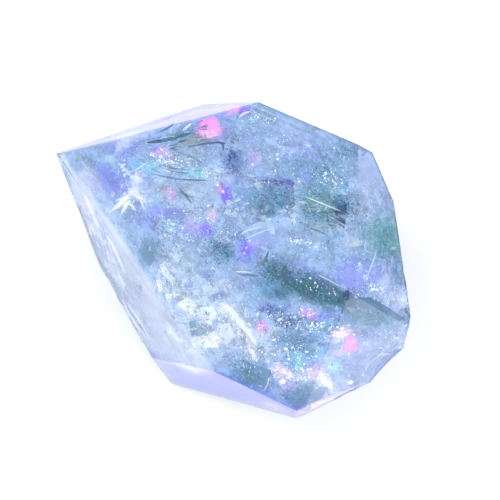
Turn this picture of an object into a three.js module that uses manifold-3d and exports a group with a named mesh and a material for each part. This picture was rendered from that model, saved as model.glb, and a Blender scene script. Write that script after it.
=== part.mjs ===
// A doubly terminated quartz crystal of the Herkimer diamond kind, grown as one piece.
// Millimetres, +Z up. It rests on its base face, and its origin is the bottom centre of its box.
// The crystal is what is left of a block when a plane cuts it at each crystal face. Growth
// ledges, striation bands, etch pits, chips and a knobbly broken end then finish the faces.

import * as THREE from "three";
import { mergeVertices } from "three/addons/utils/BufferGeometryUtils.js";
import Module from "manifold-3d";

const wasm = await Module();
wasm.setup();

// Each face: the compass direction and the elevation of its outward normal in degrees,
// and its distance from the centre of growth in millimetres. +X is 0 and +Y is 90 degrees.
const FACES = {
  crown: [0, 90, 6.0],
  base: [0, -90, 6.55],
  upperSouthWest: [215, 27, 7.65],
  upperNorth: [104.5, 8, 10.3],
  upperSouth: [244.5, 10.5, 8.35],
  upperEast: [357, 59.5, 8.95],
  upperSouthEast: [338.5, 62, 8.9],
  apexSouth: [294, 9.5, 11.55],
  lowerNorth: [67, -11, 8.6],
  lowerNorthWest: [121, -18, 9.8],
  lowerWest: [192, -16, 8.3],
  lowerSouthWest: [209, -1, 8.25],
  lowerSouth: [273, -15, 9.6],
  lowerNorthEast: [29, -19, 8.7],
  lowerEast: [11.5, -23, 8.15],
  undersideEast: [347.5, -38, 7.2],
  undersideSouth: [308, -30.5, 8.05],
};
const BLOCK = 60;

// Striation bands, as quartz shows across its long faces: face, number of bands,
// greatest step height, and the turn of the bands from the level line in degrees.
const STRIATIONS = [
  ["upperSouthWest", 3, 0.03, -2.5],
  ["lowerNorth", 6, 0.08, 1.0],
  ["lowerNorthWest", 4, 0.06, -1.5],
  ["lowerWest", 5, 0.07, 2.0],
  ["lowerSouthWest", 3, 0.05, -1.0],
  ["lowerEast", 4, 0.06, 2.0],
  ["undersideEast", 3, 0.06, -4.0],
  ["undersideSouth", 4, 0.07, 3.0],
];

// Growth plates, low terraces with the crystal's own angles: face, place across and up the
// face from the foot of its normal, half length, half width, height and turn.
const PLATES = [
  ["undersideEast", -1.2, 0.8, 2.6, 1.5, 0.16, 20],
  ["undersideSouth", 1.6, 0.4, 2.2, 1.2, 0.14, -15],
  ["upperEast", -1.6, 1.0, 1.5, 0.9, 0.05, 8],
  ["upperSouthEast", 1.2, -0.6, 1.5, 0.9, 0.06, -12],
  ["lowerWest", 2.4, 0.6, 2.0, 0.9, 0.12, 6],
  ["lowerNorth", -2.6, 1.2, 2.4, 1.1, 0.12, -8],
];

// Etch pits, three-sided hollows: face, place across and up the face, radius, depth and turn.
const PITS = [
  ["upperSouthWest", -2.1, 0.9, 0.34, 0.14, 10],
  ["upperSouthWest", 3.4, -0.6, 0.26, 0.12, 40],
  ["upperSouthEast", -1.4, 0.9, 0.3, 0.1, 0],
  ["upperNorth", 2.2, 0.4, 0.36, 0.16, 25],
  ["lowerNorth", 1.8, -1.6, 0.48, 0.2, 5],
  ["lowerNorth", 3.2, 0.8, 0.34, 0.15, 60],
  ["lowerNorthWest", -0.8, 0.6, 0.42, 0.18, 15],
  ["lowerWest", -3.0, -1.0, 0.46, 0.2, 30],
  ["lowerWest", 0.4, -2.2, 0.36, 0.16, 75],
  ["undersideEast", 2.0, -1.4, 0.44, 0.18, 50],
  ["undersideSouth", -2.4, -0.8, 0.4, 0.17, 20],
  ["lowerSouth", 0.6, 0.8, 0.4, 0.16, 10],
];

// Shell-shaped chips on edges: centre from the centre of growth, radii along X, Y and Z,
// and turn about Z.
const CHIPS = [
  { at: [-8.85, -2.05, 1.1], radii: [0.62, 1.15, 1.5], turn: 31 },
  { at: [-6.6, -6.35, -4.6], radii: [0.7, 0.9, 1.2], turn: 30 },
  { at: [10.35, -7.75, 3.9], radii: [0.6, 0.45, 0.8], turn: 40 },
  { at: [11.95, 1.55, 4.1], radii: [0.45, 0.7, 0.8], turn: 8 },
  { at: [0.2, 10.75, -1.2], radii: [0.8, 0.6, 1.0], turn: 15 },
];

// The knobbly end, where the crystal met its neighbour in the pocket. Low mounds stand out of
// a face and shallow scoops go into it: face, place across and up the face, half length,
// half width, height or depth, and turn.
const MOUNDS = [
  ["undersideEast", -1.7, 8.2, 2.6, 1.8, 0.28, 20],
  ["undersideEast", 0.6, 5.7, 2.7, 1.8, 0.34, -30],
  ["undersideEast", -2.2, 4.1, 2.4, 1.9, 0.28, 60],
  ["undersideEast", 1.7, 2.4, 2.9, 2.0, 0.3, 10],
  ["undersideEast", -1.6, 0.6, 2.6, 2.0, 0.24, 40],
  ["undersideEast", 3.9, -0.2, 2.3, 1.7, 0.26, -15],
  ["lowerEast", -4.2, 6.2, 2.3, 1.4, 0.2, 15],
  ["lowerEast", -1.4, 4.4, 2.7, 1.7, 0.22, -20],
  ["lowerEast", 0.6, 1.2, 2.6, 1.9, 0.2, 35],
];
const SCOOPS = [
  ["undersideEast", -0.2, 8.9, 1.0, 0.6, 0.3, 35],
  ["undersideEast", 2.6, 1.0, 1.6, 0.9, 0.3, -20],
  ["lowerEast", -0.6, 6.6, 1.3, 0.8, 0.22, 5],
  ["upperSouthEast", -2.9, -8.9, 1.5, 0.9, 0.2, -30],
  ["upperEast", -0.9, -8.1, 1.3, 0.8, 0.16, 15],
  ["apexSouth", 2.9, 2.2, 1.0, 0.5, 0.18, 20],
  ["undersideSouth", 2.9, 6.2, 1.4, 0.8, 0.26, 10],
];
const FINE_ROUND = 3;

const UP = new THREE.Vector3(0, 0, 1);

function direction(azimuth, elevation) {
  const compass = THREE.MathUtils.degToRad(azimuth);
  const rise = THREE.MathUtils.degToRad(elevation);
  return new THREE.Vector3(
    Math.cos(rise) * Math.cos(compass),
    Math.cos(rise) * Math.sin(compass),
    Math.sin(rise),
  );
}

// The frame of a face: X runs level across it, Y up its slope, Z outward, from its foot point.
function faceFrame(name) {
  const [azimuth, elevation, distance] = FACES[name];
  const outward = direction(azimuth, elevation);
  const across = new THREE.Vector3().crossVectors(UP, direction(azimuth, 0));
  const upSlope = new THREE.Vector3().crossVectors(outward, across);
  return new THREE.Matrix4()
    .makeBasis(across, upSlope, outward)
    .setPosition(outward.multiplyScalar(distance));
}

function toSolid(geometry) {
  geometry.deleteAttribute("normal");
  geometry.deleteAttribute("uv");
  const merged = mergeVertices(geometry, 1e-5);
  return new wasm.Manifold(new wasm.Mesh({
    numProp: 3,
    vertProperties: new Float32Array(merged.attributes.position.array),
    triVerts: new Uint32Array(merged.index.array),
  }));
}

// A box on a face, from depth below it to height above it, turned in the plane of the face.
function boxOnFace(name, { x = 0, y = 0, length, width, depth, height, turn = 0 }) {
  const geometry = new THREE.BoxGeometry(length, width, depth + height);
  geometry.translate(0, 0, (height - depth) / 2);
  geometry.rotateZ(THREE.MathUtils.degToRad(turn));
  geometry.translate(x, y, 0);
  return toSolid(geometry.applyMatrix4(faceFrame(name)));
}

// The plane-faced crystal. One face may stand further out, which leaves the others as they are.
function crystal(raisedFace, raise = 0) {
  let solid = toSolid(new THREE.BoxGeometry(BLOCK, BLOCK, BLOCK));
  for (const name of Object.keys(FACES)) {
    const above = name === raisedFace ? raise : 0;
    const waste = boxOnFace(name, {
      length: 2 * BLOCK, width: 2 * BLOCK, depth: -above, height: BLOCK,
    });
    solid = solid.subtract(waste);
  }
  return solid;
}

// What a face gains when it grows outward by a height inside a mask.
function growth(name, height, mask) {
  return crystal(name, height).intersect(mask);
}

// Bands of uneven width, height and length, laid one above the other up the face.
function striations(name, count, tallest, turn) {
  const reach = faceReach(name);
  const pitch = (reach.max.y - reach.min.y) / count;
  const span = reach.max.x - reach.min.x;
  let bands = null;
  for (let i = 0; i < count; i += 1) {
    const share = 0.5 + 0.5 * Math.sin(2.4 * i + count);
    const height = tallest * (0.25 + 0.75 * share);
    const mask = boxOnFace(name, {
      x: reach.min.x + span * (0.5 + 0.42 * Math.cos(2.9 * i + count)),
      y: reach.min.y + (i + 0.5 + 0.18 * Math.cos(1.7 * i)) * pitch,
      length: span * (0.55 + 0.4 * share),
      width: pitch * (0.45 + 0.3 * share),
      depth: 1,
      height: 1,
      turn: turn * (1 + 0.4 * Math.sin(3.1 * i)),
    });
    const band = growth(name, height, mask);
    bands = bands ? bands.add(band) : band;
  }
  return bands;
}

// The reach of a face in its own frame, read from the plane-faced crystal.
function faceReach(name) {
  const inverse = faceFrame(name).invert();
  const { vertProperties, numProp } = PLAIN.getMesh();
  const reach = new THREE.Box3();
  const corner = new THREE.Vector3();
  for (let i = 0; i < vertProperties.length; i += numProp) {
    corner.fromArray(vertProperties, i).applyMatrix4(inverse);
    if (Math.abs(corner.z) < 1e-3) {
      reach.expandByPoint(corner);
    }
  }
  return reach;
}

// A terrace with a six-sided outline and sloping risers.
function plate([name, x, y, halfLength, halfWidth, height, turn]) {
  const outline = new THREE.Shape([
    new THREE.Vector2(-halfLength, -0.3 * halfWidth),
    new THREE.Vector2(-0.35 * halfLength, -halfWidth),
    new THREE.Vector2(0.7 * halfLength, -0.8 * halfWidth),
    new THREE.Vector2(halfLength, 0.2 * halfWidth),
    new THREE.Vector2(0.3 * halfLength, halfWidth),
    new THREE.Vector2(-0.6 * halfLength, 0.75 * halfWidth),
  ]);
  const geometry = new THREE.ExtrudeGeometry(outline, {
    depth: 1,
    bevelThickness: height,
    bevelSize: 2 * height,
    bevelOffset: -2 * height,
    bevelSegments: 1,
  });
  geometry.translate(0, 0, -1);
  geometry.rotateZ(THREE.MathUtils.degToRad(turn));
  geometry.translate(x, y, 0);
  return growth(name, height, toSolid(geometry.applyMatrix4(faceFrame(name))));
}

function pit([name, x, y, radius, depth, turn]) {
  const geometry = new THREE.ConeGeometry(2 * radius, 2 * depth, 3);
  geometry.rotateX(-Math.PI / 2);
  geometry.rotateZ(THREE.MathUtils.degToRad(turn));
  geometry.translate(x, y, 0);
  return toSolid(geometry.applyMatrix4(faceFrame(name)));
}

// A rounded solid with small facets.
function rounded(radii) {
  const geometry = new THREE.IcosahedronGeometry(1, FINE_ROUND);
  return geometry.scale(...radii);
}

function chip({ at, radii, turn }) {
  const geometry = rounded(radii);
  geometry.rotateZ(THREE.MathUtils.degToRad(turn));
  return toSolid(geometry.translate(...at));
}

// A pillow centred on the plane of a face: half of it stands out and half lies inside.
function pillow([name, x, y, halfLength, halfWidth, height, turn]) {
  const geometry = rounded([halfLength, halfWidth, height]);
  geometry.rotateZ(THREE.MathUtils.degToRad(turn));
  geometry.translate(x, y, 0);
  return toSolid(geometry.applyMatrix4(faceFrame(name)));
}

const PLAIN = crystal();

function quartzBody() {
  let solid = PLAIN;
  for (const [name, count, tallest, turn] of STRIATIONS) {
    solid = solid.add(striations(name, count, tallest, turn));
  }
  for (const terrace of PLATES) {
    solid = solid.add(plate(terrace));
  }
  for (const hollow of PITS) {
    solid = solid.subtract(pit(hollow));
  }
  for (const mound of MOUNDS) {
    const [name, , , , , height] = mound;
    solid = solid.add(growth(name, height, pillow(mound)));
  }
  for (const scoop of SCOOPS) {
    solid = solid.subtract(pillow(scoop));
  }
  for (const flake of CHIPS) {
    solid = solid.subtract(chip(flake));
  }
  return solid;
}

// Back to three.js, with the bottom centre of its box at the origin.
function toGeometry(solid) {
  const { vertProperties, triVerts } = solid.getMesh();
  const geometry = new THREE.BufferGeometry();
  geometry.setAttribute("position", new THREE.BufferAttribute(vertProperties, 3));
  geometry.setIndex(new THREE.BufferAttribute(triVerts, 1));
  geometry.computeBoundingBox();
  const { min, max } = geometry.boundingBox;
  geometry.translate(-(min.x + max.x) / 2, -(min.y + max.y) / 2, -min.z);
  geometry.computeVertexNormals();
  return geometry;
}

const quartz = new THREE.MeshStandardMaterial({
  color: 0xb4c0e6,
  roughness: 0.08,
  metalness: 0,
  transparent: true,
  opacity: 0.6,
});

const part = new THREE.Group();
const body = new THREE.Mesh(toGeometry(quartzBody()), quartz);
body.name = "quartz_crystal";
part.add(body);

export default part;
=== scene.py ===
"""Looks of a natural Herkimer quartz crystal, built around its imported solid.

The crystal is clear, so most of what is seen lies inside it. Milky mists of healed fractures follow
its faces and carry the changing tints. Slanting veils, crackle flakes, broken panels, short cracks,
dark clouds of grains, angular facets, glints and fractures that shine pink, violet, aqua and mint
lie in and around them. Places inside the crystal are in millimetres, seen from above: X to the
right, Y up the page.
"""

import bpy
import numpy as np
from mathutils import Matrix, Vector


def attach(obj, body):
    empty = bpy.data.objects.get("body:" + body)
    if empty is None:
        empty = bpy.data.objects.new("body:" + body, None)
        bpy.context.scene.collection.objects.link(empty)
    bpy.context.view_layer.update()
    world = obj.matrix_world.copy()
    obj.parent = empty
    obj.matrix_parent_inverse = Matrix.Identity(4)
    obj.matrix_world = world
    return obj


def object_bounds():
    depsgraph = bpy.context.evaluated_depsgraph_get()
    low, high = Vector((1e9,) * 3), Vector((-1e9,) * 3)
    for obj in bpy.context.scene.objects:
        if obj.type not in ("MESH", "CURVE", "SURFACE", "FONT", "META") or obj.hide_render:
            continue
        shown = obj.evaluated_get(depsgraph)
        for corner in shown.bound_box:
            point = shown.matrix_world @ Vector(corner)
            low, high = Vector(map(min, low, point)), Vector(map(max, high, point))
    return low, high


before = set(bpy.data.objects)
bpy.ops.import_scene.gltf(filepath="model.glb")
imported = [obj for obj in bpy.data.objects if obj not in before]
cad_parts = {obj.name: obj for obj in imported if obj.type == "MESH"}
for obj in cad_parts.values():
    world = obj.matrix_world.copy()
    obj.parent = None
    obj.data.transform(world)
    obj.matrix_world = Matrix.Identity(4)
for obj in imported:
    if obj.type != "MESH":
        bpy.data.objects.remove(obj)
cad_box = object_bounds()
LOW, HIGH = np.array(cad_box)

MM = 0.001

# Camera: straight above the large crown face, as far off as a close-up lens would be.
CAMERA_ABOVE = 350 * MM
CAMERA_ASIDE = (1.06 * MM, 0.68 * MM)
CAMERA_LENS = 371.0
CAMERA_SENSOR = 36.0

# Quartz.
QUARTZ_IOR = 1.544
BODY_TINT = (0.26, 0.50, 0.86)
BODY_DENSITY = 22.0

# What lies inside keeps this far from the crystal's faces, and a thin mist may come closer.
SKIN = 0.22 * MM
THIN_SKIN = 0.05 * MM

# Over this distance in mm before the rim, what lies under the upper faces comes up towards them,
# to no closer than the second value.
RIM_RISE = 2
RIM_CLOSEST = 0.07


def tint(red, green, blue):
    """Linear light of a screen colour whose channels run from 0 to 255."""
    share = np.array([red, green, blue]) / 255
    return np.where(share <= 0.04045, share / 12.92, ((share + 0.055) / 1.055) ** 2.4)


# The tints that the crystal shows.
PERIWINKLE = tint(166, 200, 238)
LAVENDER = tint(186, 202, 245)
LILAC_WHITE = tint(226, 232, 253)
PEARL = tint(241, 245, 253)
ICE = tint(206, 226, 248)
FROST = tint(238, 246, 253)
CREAM = tint(245, 248, 240)
STEEL = tint(124, 173, 206)
TEAL = tint(102, 156, 196)
SLATE = tint(68, 130, 164)
PINE = tint(34, 112, 130)
SEA_GREEN = tint(110, 176, 184)
OLIVE = tint(118, 168, 176)
SAND = tint(178, 194, 186)
INDIGO = tint(86, 116, 196)
COBALT = tint(84, 118, 240)
NAVY = tint(28, 66, 130)
BLUE_VIOLET = tint(150, 162, 248)
IRIS = tint(100, 104, 246)
VIOLET = tint(124, 84, 240)
LILAC = tint(180, 168, 249)
ORCHID = tint(208, 152, 248)
PINK = tint(252, 150, 236)
BLUSH = tint(252, 204, 242)
PALE_BLUSH = tint(250, 222, 246)
AQUA = tint(136, 214, 236)
MINT = tint(158, 228, 214)


# ---------------------------------------------------------------- crystal faces


def crystal_faces(node, smallest=4.0 * MM * MM):
    """Outward normals and distances of the node's large flat faces.

    Triangles that share a plane, to 0.005 of its normal and 0.02 mm, are summed, and a plane
    counts as a face if its triangles cover more than the smallest area.
    """
    mesh = bpy.data.objects[node].data
    mesh.calc_loop_triangles()
    corner = np.empty(len(mesh.vertices) * 3)
    mesh.vertices.foreach_get("co", corner)
    corner = corner.reshape(-1, 3)
    index = np.empty(len(mesh.loop_triangles) * 3, int)
    mesh.loop_triangles.foreach_get("vertices", index)
    a, b, c = corner[index.reshape(-1, 3)].transpose(1, 0, 2)
    cross = np.cross(b - a, c - a)
    area = np.linalg.norm(cross, axis=1) / 2
    keep = area > 1e-12
    normal = cross[keep] / (2 * area[keep, None])
    distance = (normal * a[keep]).sum(1)
    key = np.round(np.c_[normal * 200, distance / (0.02 * MM)]).astype(int)
    _, group = np.unique(key, axis=0, return_inverse=True)
    group = group.ravel()
    total = np.bincount(group, area[keep])
    large = np.flatnonzero(total > smallest)
    first = np.array([np.flatnonzero(group == g)[0] for g in large])
    return normal[first], distance[first]


def direction(azimuth, elevation):
    """Unit vector from compass and rise angles in degrees."""
    compass, rise = np.radians(azimuth), np.radians(elevation)
    return np.array([np.cos(rise) * np.cos(compass), np.cos(rise) * np.sin(compass), np.sin(rise)])


FACE_NORMALS, FACE_DISTANCES = crystal_faces("quartz_crystal")

# Heading in degrees of the west band's length.
WEST_HEADING = -64

# The upper faces by the direction that they look in, each with its own tint at its start and
# end along the compass heading given last.
CROWN, WEST_BAND, NORTH_BAND, SOUTH_BAND, EAST_FACE, SOUTH_EAST_FACE, SOUTH_TIP = range(7)
WIDE_FACES = (CROWN, EAST_FACE, SOUTH_EAST_FACE)
STEEP_FACES = (WEST_BAND, NORTH_BAND, SOUTH_BAND, SOUTH_TIP)
UPPER_FACES = {
    CROWN: (direction(0, 90), PERIWINKLE, PERIWINKLE, 0),
    WEST_BAND: (direction(215, 27), LILAC_WHITE, ICE, WEST_HEADING),
    NORTH_BAND: (direction(104.5, 8), LAVENDER, LILAC, 15),
    SOUTH_BAND: (direction(244.5, 10.5), COBALT, IRIS, -15),
    EAST_FACE: (direction(357, 59.5), LAVENDER, LAVENDER, -70),
    SOUTH_EAST_FACE: (direction(338.5, 62), LAVENDER, LAVENDER, 0),
    SOUTH_TIP: (direction(294, 9.5), PALE_BLUSH, PALE_BLUSH, 200),
}

# By how much its normal rises, a face is steep between -STEEP and STEEP, an upper one above
# UPWARD, and the one that the crystal rests on below DOWNWARD.
STEEP, UPWARD, DOWNWARD = 0.8, 0.05, -0.95
IS_STEEP = np.abs(FACE_NORMALS[:, 2]) < STEEP

# Moved in by FAR_OUT, in mm, the planes of the steep faces are out of the way. No face reaches
# HALF_SPAN mm from its middle.
FAR_OUT = -1000.0
HALF_SPAN = 15

# Chips and scoops of the solid that mists keep clear of: centre and radius.
HOLLOWS = [
    ((-8.6, -1.9, 7.6), 1.2),
    ((-6.3, -6.2, 1.9), 1.1),
    ((10.6, -7.6, 10.4), 0.8),
    ((12.2, 1.7, 10.6), 0.8),
]


def depth_inside(points):
    """How far each point lies under the nearest crystal face or hollow; negative outside."""
    depth = (FACE_DISTANCES - points @ FACE_NORMALS.T).min(axis=-1)
    for centre, radius in HOLLOWS:
        reach = np.linalg.norm(points - np.array(centre) * MM, axis=-1) - radius * MM
        depth = np.minimum(depth, reach)
    return depth


def under_ceiling(x, y, wide_under, steep_under):
    """Places under the upper faces at (x, y), all in mm, and the face above each of them.

    The planes of the crown and of the gently sloping faces are moved inwards by wide_under, and
    those of the steep bands by steep_under. The lowest of the moved planes gives the height.
    """
    upper = FACE_NORMALS[:, 2] > UPWARD
    normal, distance = FACE_NORMALS[upper], FACE_DISTANCES[upper] / MM
    wide_under, steep_under = np.asarray(wide_under)[..., None], np.asarray(steep_under)[..., None]
    moved = distance - np.where(normal[:, 2] > STEEP, wide_under, steep_under)
    heights = (moved - x[..., None] * normal[:, 0] - y[..., None] * normal[:, 1]) / normal[:, 2]
    looks = np.array([UPPER_FACES[k][0] for k in UPPER_FACES])
    kind = (normal @ looks.T).argmax(-1)
    return np.stack([x, y, heights.min(-1)], -1) * MM, kind[heights.argmin(-1)]


def distance_to_rim(x, y):
    """Level distance in mm from the upper surface at (x, y) to the nearest steep face."""
    normal, distance = FACE_NORMALS[IS_STEEP], FACE_DISTANCES[IS_STEEP]
    surface, _ = under_ceiling(x, y, 0.0, 0.0)
    return ((distance - surface @ normal.T) / np.hypot(normal[:, 0], normal[:, 1])).min(-1) / MM


def under_faces(x, y, sunk):
    """Places sunk mm below the upper faces at (x, y), and a fifth as deep at the rim."""
    sunk = sunk * (0.2 + 0.8 * np.clip(distance_to_rim(x, y) / RIM_RISE, 0, 1))
    sunk = np.maximum(RIM_CLOSEST, sunk)
    return under_ceiling(x, y, sunk, sunk)[0]


# ---------------------------------------------------------------- noise and tints

LATTICE = np.random.default_rng(11).random((64, 64))


def soft_noise(x, y, size, layers=4, fade=0.55):
    """Value noise from 0 to 1. Each layer is half as wide as the last, and fade as strong.

    A layer blends the four lattice values round a place with 3 f^2 - 2 f^3 of its fractions.
    """
    total, weight = 0.0, 0.0
    for layer in range(layers):
        u = x / size * 2 ** layer + 17.3 * layer
        v = y / size * 2 ** layer + 5.7 * layer
        i, j = np.floor(u).astype(int), np.floor(v).astype(int)
        s, t = u - i, v - j
        s, t = s * s * (3 - 2 * s), t * t * (3 - 2 * t)
        i0, i1, j0, j1 = i % 64, (i + 1) % 64, j % 64, (j + 1) % 64
        near = LATTICE[i0, j0] * (1 - s) + LATTICE[i1, j0] * s
        far = LATTICE[i0, j1] * (1 - s) + LATTICE[i1, j1] * s
        total = total + (near * (1 - t) + far * t) * fade ** layer
        weight += fade ** layer
    return total / weight


def turned(x, y, degrees, middle_x=0.0, middle_y=0.0):
    """(x, y) turned by degrees and laid out from the middle."""
    c, s = np.cos(np.radians(degrees)), np.sin(np.radians(degrees))
    return middle_x + x * c - y * s, middle_y + x * s + y * c


def oval(x, y, centre, radii, turn):
    """Distance from an oval's centre in radii of the oval, with the oval turned by degrees."""
    along, across = turned(x - centre[0], y - centre[1], -turn)
    return np.hypot(along / radii[0], across / radii[1])


def smooth_fall(r, inner=0.25):
    """1 inside the inner radius, 0 outside radius 1, with a smooth fall between."""
    f = np.clip((1 - r) / (1 - inner), 0, 1)
    return f * f * (3 - 2 * f)


# Tinted patches: centre, radii, turn in degrees, tint and strength.
PATCHES = [
    # Broad changes of the crown's blue.
    ((-9.8, 6.2), (1.9, 1.0), 25, STEEL, 0.25),
    ((-7.2, 7.5), (1.6, 0.7), 20, BLUE_VIOLET, 0.60),
    ((-8.3, 5.2), (1.7, 1.2), -50, BLUE_VIOLET, 0.85),
    ((-2.2, 4.6), (2.6, 2.0), 0, ICE, 0.50),
    ((-5.6, 0.9), (2.4, 1.6), -50, PERIWINKLE, 0.60),
    ((-5.2, -3.4), (3.0, 1.2), -58, LILAC_WHITE, 0.55),
    ((-3.4, -6.2), (2.6, 1.1), -35, LILAC_WHITE, 0.80),
    ((-3.6, 4.9), (3.4, 1.9), 0, ICE, 0.45),
    ((-9.6, 5.0), (1.2, 1.4), 0, LILAC_WHITE, 0.50),
    ((-3.4, -0.1), (1.4, 1.2), 0, ICE, 0.55),
    ((-1.3, -1.9), (1.3, 1.1), 0, FROST, 0.45),
    ((2.2, -4.7), (1.8, 0.9), -10, FROST, 0.55),
    ((1.9, -6.1), (2.4, 0.9), -10, FROST, 0.50),
    ((4.4, -7.9), (1.9, 1.0), 0, FROST, 0.80),
    ((-2.2, 2.9), (1.4, 1.3), 0, ICE, 0.55),
    ((11.1, -4.8), (1.1, 1.0), 0, LILAC_WHITE, 0.80),
    ((-7.2, 8.0), (1.3, 0.6), 20, LILAC_WHITE, 0.50),
    ((8.9, -6.1), (1.2, 1.2), 0, PERIWINKLE, 0.50),
    ((-1.4, -3.9), (3.8, 3.0), -40, ICE, 0.95),
    ((-3.6, -0.9), (1.6, 2.6), 25, ICE, 0.75),
    ((0.3, -4.6), (2.6, 1.0), -55, FROST, 0.45),
    ((-6.6, 4.4), (1.3, 1.8), 30, ICE, 0.55),
    ((3.6, 7.6), (2.6, 1.2), -25, LAVENDER, 0.60),
    ((9.0, 5.6), (0.9, 2.0), 12, LAVENDER, 0.60),
    ((8.6, -4.2), (2.8, 1.2), -8, STEEL, 0.95),
    ((6.4, -4.1), (2.2, 1.0), -8, STEEL, 0.85),
    ((5.4, 7.0), (1.4, 0.8), -25, BLUE_VIOLET, 0.40),
    ((3.6, 1.6), (3.2, 0.9), -5, LAVENDER, 0.50),
    ((5.6, 1.6), (2.6, 0.9), -10, STEEL, 0.45),
    ((5.6, 0.2), (2.6, 0.8), -8, STEEL, 0.35),
    ((1.6, 1.8), (2.6, 1.1), 5, INDIGO, 0.30),
    ((0.7, -0.1), (1.4, 1.1), 0, INDIGO, 0.28),
    ((8.7, -0.1), (1.4, 1.2), 0, STEEL, 0.35),
    ((8.5, 5.9), (1.3, 1.4), 0, STEEL, 0.35),
    ((6.6, 0.4), (2.2, 1.0), -20, PERIWINKLE, 0.60),
    ((6.8, 0.0), (1.3, 0.9), -10, STEEL, 0.65),
    ((0.9, 1.7), (1.0, 1.0), 0, STEEL, 0.65),
    ((8.7, 4.2), (1.2, 1.7), 0, ICE, 0.45),
    ((6.9, 4.7), (1.5, 0.8), -20, OLIVE, 0.45),
    ((5.8, 5.4), (3.2, 1.7), -20, STEEL, 0.70),
    ((7.7, 7.6), (0.9, 1.9), 30, TEAL, 0.55),
    ((1.8, 8.0), (1.8, 1.4), 0, STEEL, 0.35),
    ((4.4, -5.4), (2.6, 1.2), -10, STEEL, 0.60),
    ((6.0, -5.9), (1.4, 1.0), 0, STEEL, 0.35),
    ((8.6, -6.6), (2.4, 2.6), 20, LAVENDER, 0.55),
    # The sage leaf and haze among the dark streaks by the north edge.
    ((-2.3, 8.3), (3.0, 1.0), 12, TEAL, 0.65),
    ((-2.7, 7.8), (1.5, 0.5), 14, SAND, 0.75),
    ((-3.2, 6.8), (1.5, 0.5), -14, SAND, 0.45),
    # Aqua gleams.
    ((-5.9, 6.2), (1.6, 0.6), -8, AQUA, 0.65),
    ((-2.6, 5.8), (1.5, 0.6), -8, AQUA, 0.80),
    # Dark clouds.
    ((2.3, 3.9), (2.3, 1.6), 5, TEAL, 0.75),
    ((2.5, 3.7), (1.2, 0.8), 10, SLATE, 0.60),
    ((3.0, 5.2), (1.9, 0.4), -6, INDIGO, 0.45),
    ((5.9, 3.5), (2.7, 1.6), -12, OLIVE, 0.75),
    ((5.3, 2.9), (0.9, 0.5), -10, SLATE, 0.50),
    ((7.1, 3.6), (1.0, 1.0), -20, SLATE, 0.80),
    ((5.9, 2.1), (1.4, 0.6), -15, SAND, 0.40),
    ((2.9, -0.8), (1.7, 1.1), -20, SLATE, 0.80),
    ((2.3, -1.9), (1.8, 0.9), -15, TEAL, 0.55),
    ((5.1, -1.9), (3.3, 1.3), -18, PINE, 0.95),
    ((6.4, -2.4), (2.1, 1.2), -15, PINE, 0.90),
    ((2.6, -2.0), (1.6, 0.9), -15, SLATE, 0.70),
    ((7.45, -2.25), (0.40, 0.42), 0, NAVY, 0.85),
    ((9.6, 1.6), (2.7, 2.3), 10, SEA_GREEN, 0.90),
    ((10.0, 1.2), (1.4, 1.3), 0, PINE, 0.25),
    ((11.0, -2.2), (1.2, 1.2), 0, LILAC_WHITE, 0.80),
    ((10.9, -0.7), (0.8, 1.7), 12, TEAL, 0.80),
    ((0.9, -7.5), (1.9, 1.1), -20, TEAL, 0.80),
    ((1.2, -7.6), (1.1, 0.6), -20, SLATE, 0.50),
    ((4.5, -8.7), (1.5, 1.0), 15, TEAL, 0.60),
    ((-5.5, 0.6), (0.7, 1.15), -20, STEEL, 0.90),
    ((-0.7, 0.6), (1.1, 0.9), -10, TEAL, 0.75),
    ((-0.5, 0.3), (0.6, 0.5), 0, SLATE, 0.50),
    ((-0.9, 8.3), (0.9, 0.9), 0, LILAC, 0.50),
    ((-1.2, 5.6), (1.6, 0.8), -5, ICE, 0.60),
    ((-1.0, -2.4), (0.6, 0.5), 0, INDIGO, 0.65),
    ((0.0, 6.4), (0.8, 1.2), -10, INDIGO, 0.60),
    ((0.2, 6.9), (0.4, 0.5), 0, NAVY, 0.40),
    ((3.4, -4.0), (0.9, 0.6), 0, NAVY, 0.45),
    ((2.6, -3.1), (1.6, 0.5), -8, INDIGO, 0.65),
    # Violet and pink tints.
    ((-4.9, 3.3), (1.0, 0.45), -8, BLUE_VIOLET, 0.85),
    ((-5.6, 2.5), (0.9, 0.9), 0, BLUE_VIOLET, 0.65),
    ((-3.0, 2.2), (1.2, 0.8), 0, LILAC, 0.45),
    ((0.2, 4.4), (1.4, 1.6), 0, BLUE_VIOLET, 0.35),
    ((1.4, 0.9), (1.6, 1.1), 20, BLUE_VIOLET, 0.60),
    ((6.2, -3.7), (1.8, 0.5), -5, BLUE_VIOLET, 0.55),
    ((4.9, -3.5), (0.9, 0.5), -10, ORCHID, 0.45),
    ((1.9, -4.3), (0.6, 0.7), 0, ORCHID, 0.55),
    ((8.4, -4.7), (1.6, 0.4), 0, BLUE_VIOLET, 0.40),
    ((4.6, -9.6), (0.9, 0.5), 15, VIOLET, 0.45),
    ((2.9, -9.9), (1.8, 0.6), -18, LILAC, 0.80),
    ((3.6, -8.0), (1.2, 0.6), 20, LILAC, 0.45),
]

# Places where the mist is smooth and hardly crackled: centre, radii and turn.
CALM_PLACES = [
    ((-8.4, 5.0), (2.0, 1.4), -50),
    ((-5.6, -4.6), (4.2, 1.4), -58),
    ((-3.4, -6.6), (2.2, 0.8), -30),
    ((-5.5, 0.6), (0.8, 1.2), -20),
    ((-1.6, 4.4), (1.3, 1.1), 0),
    ((9.0, -6.4), (2.6, 2.8), 20),
]


def mixed(tints, share, other):
    """Tints moved towards the other by each place's share."""
    return tints + share[..., None] * (other - tints)


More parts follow.
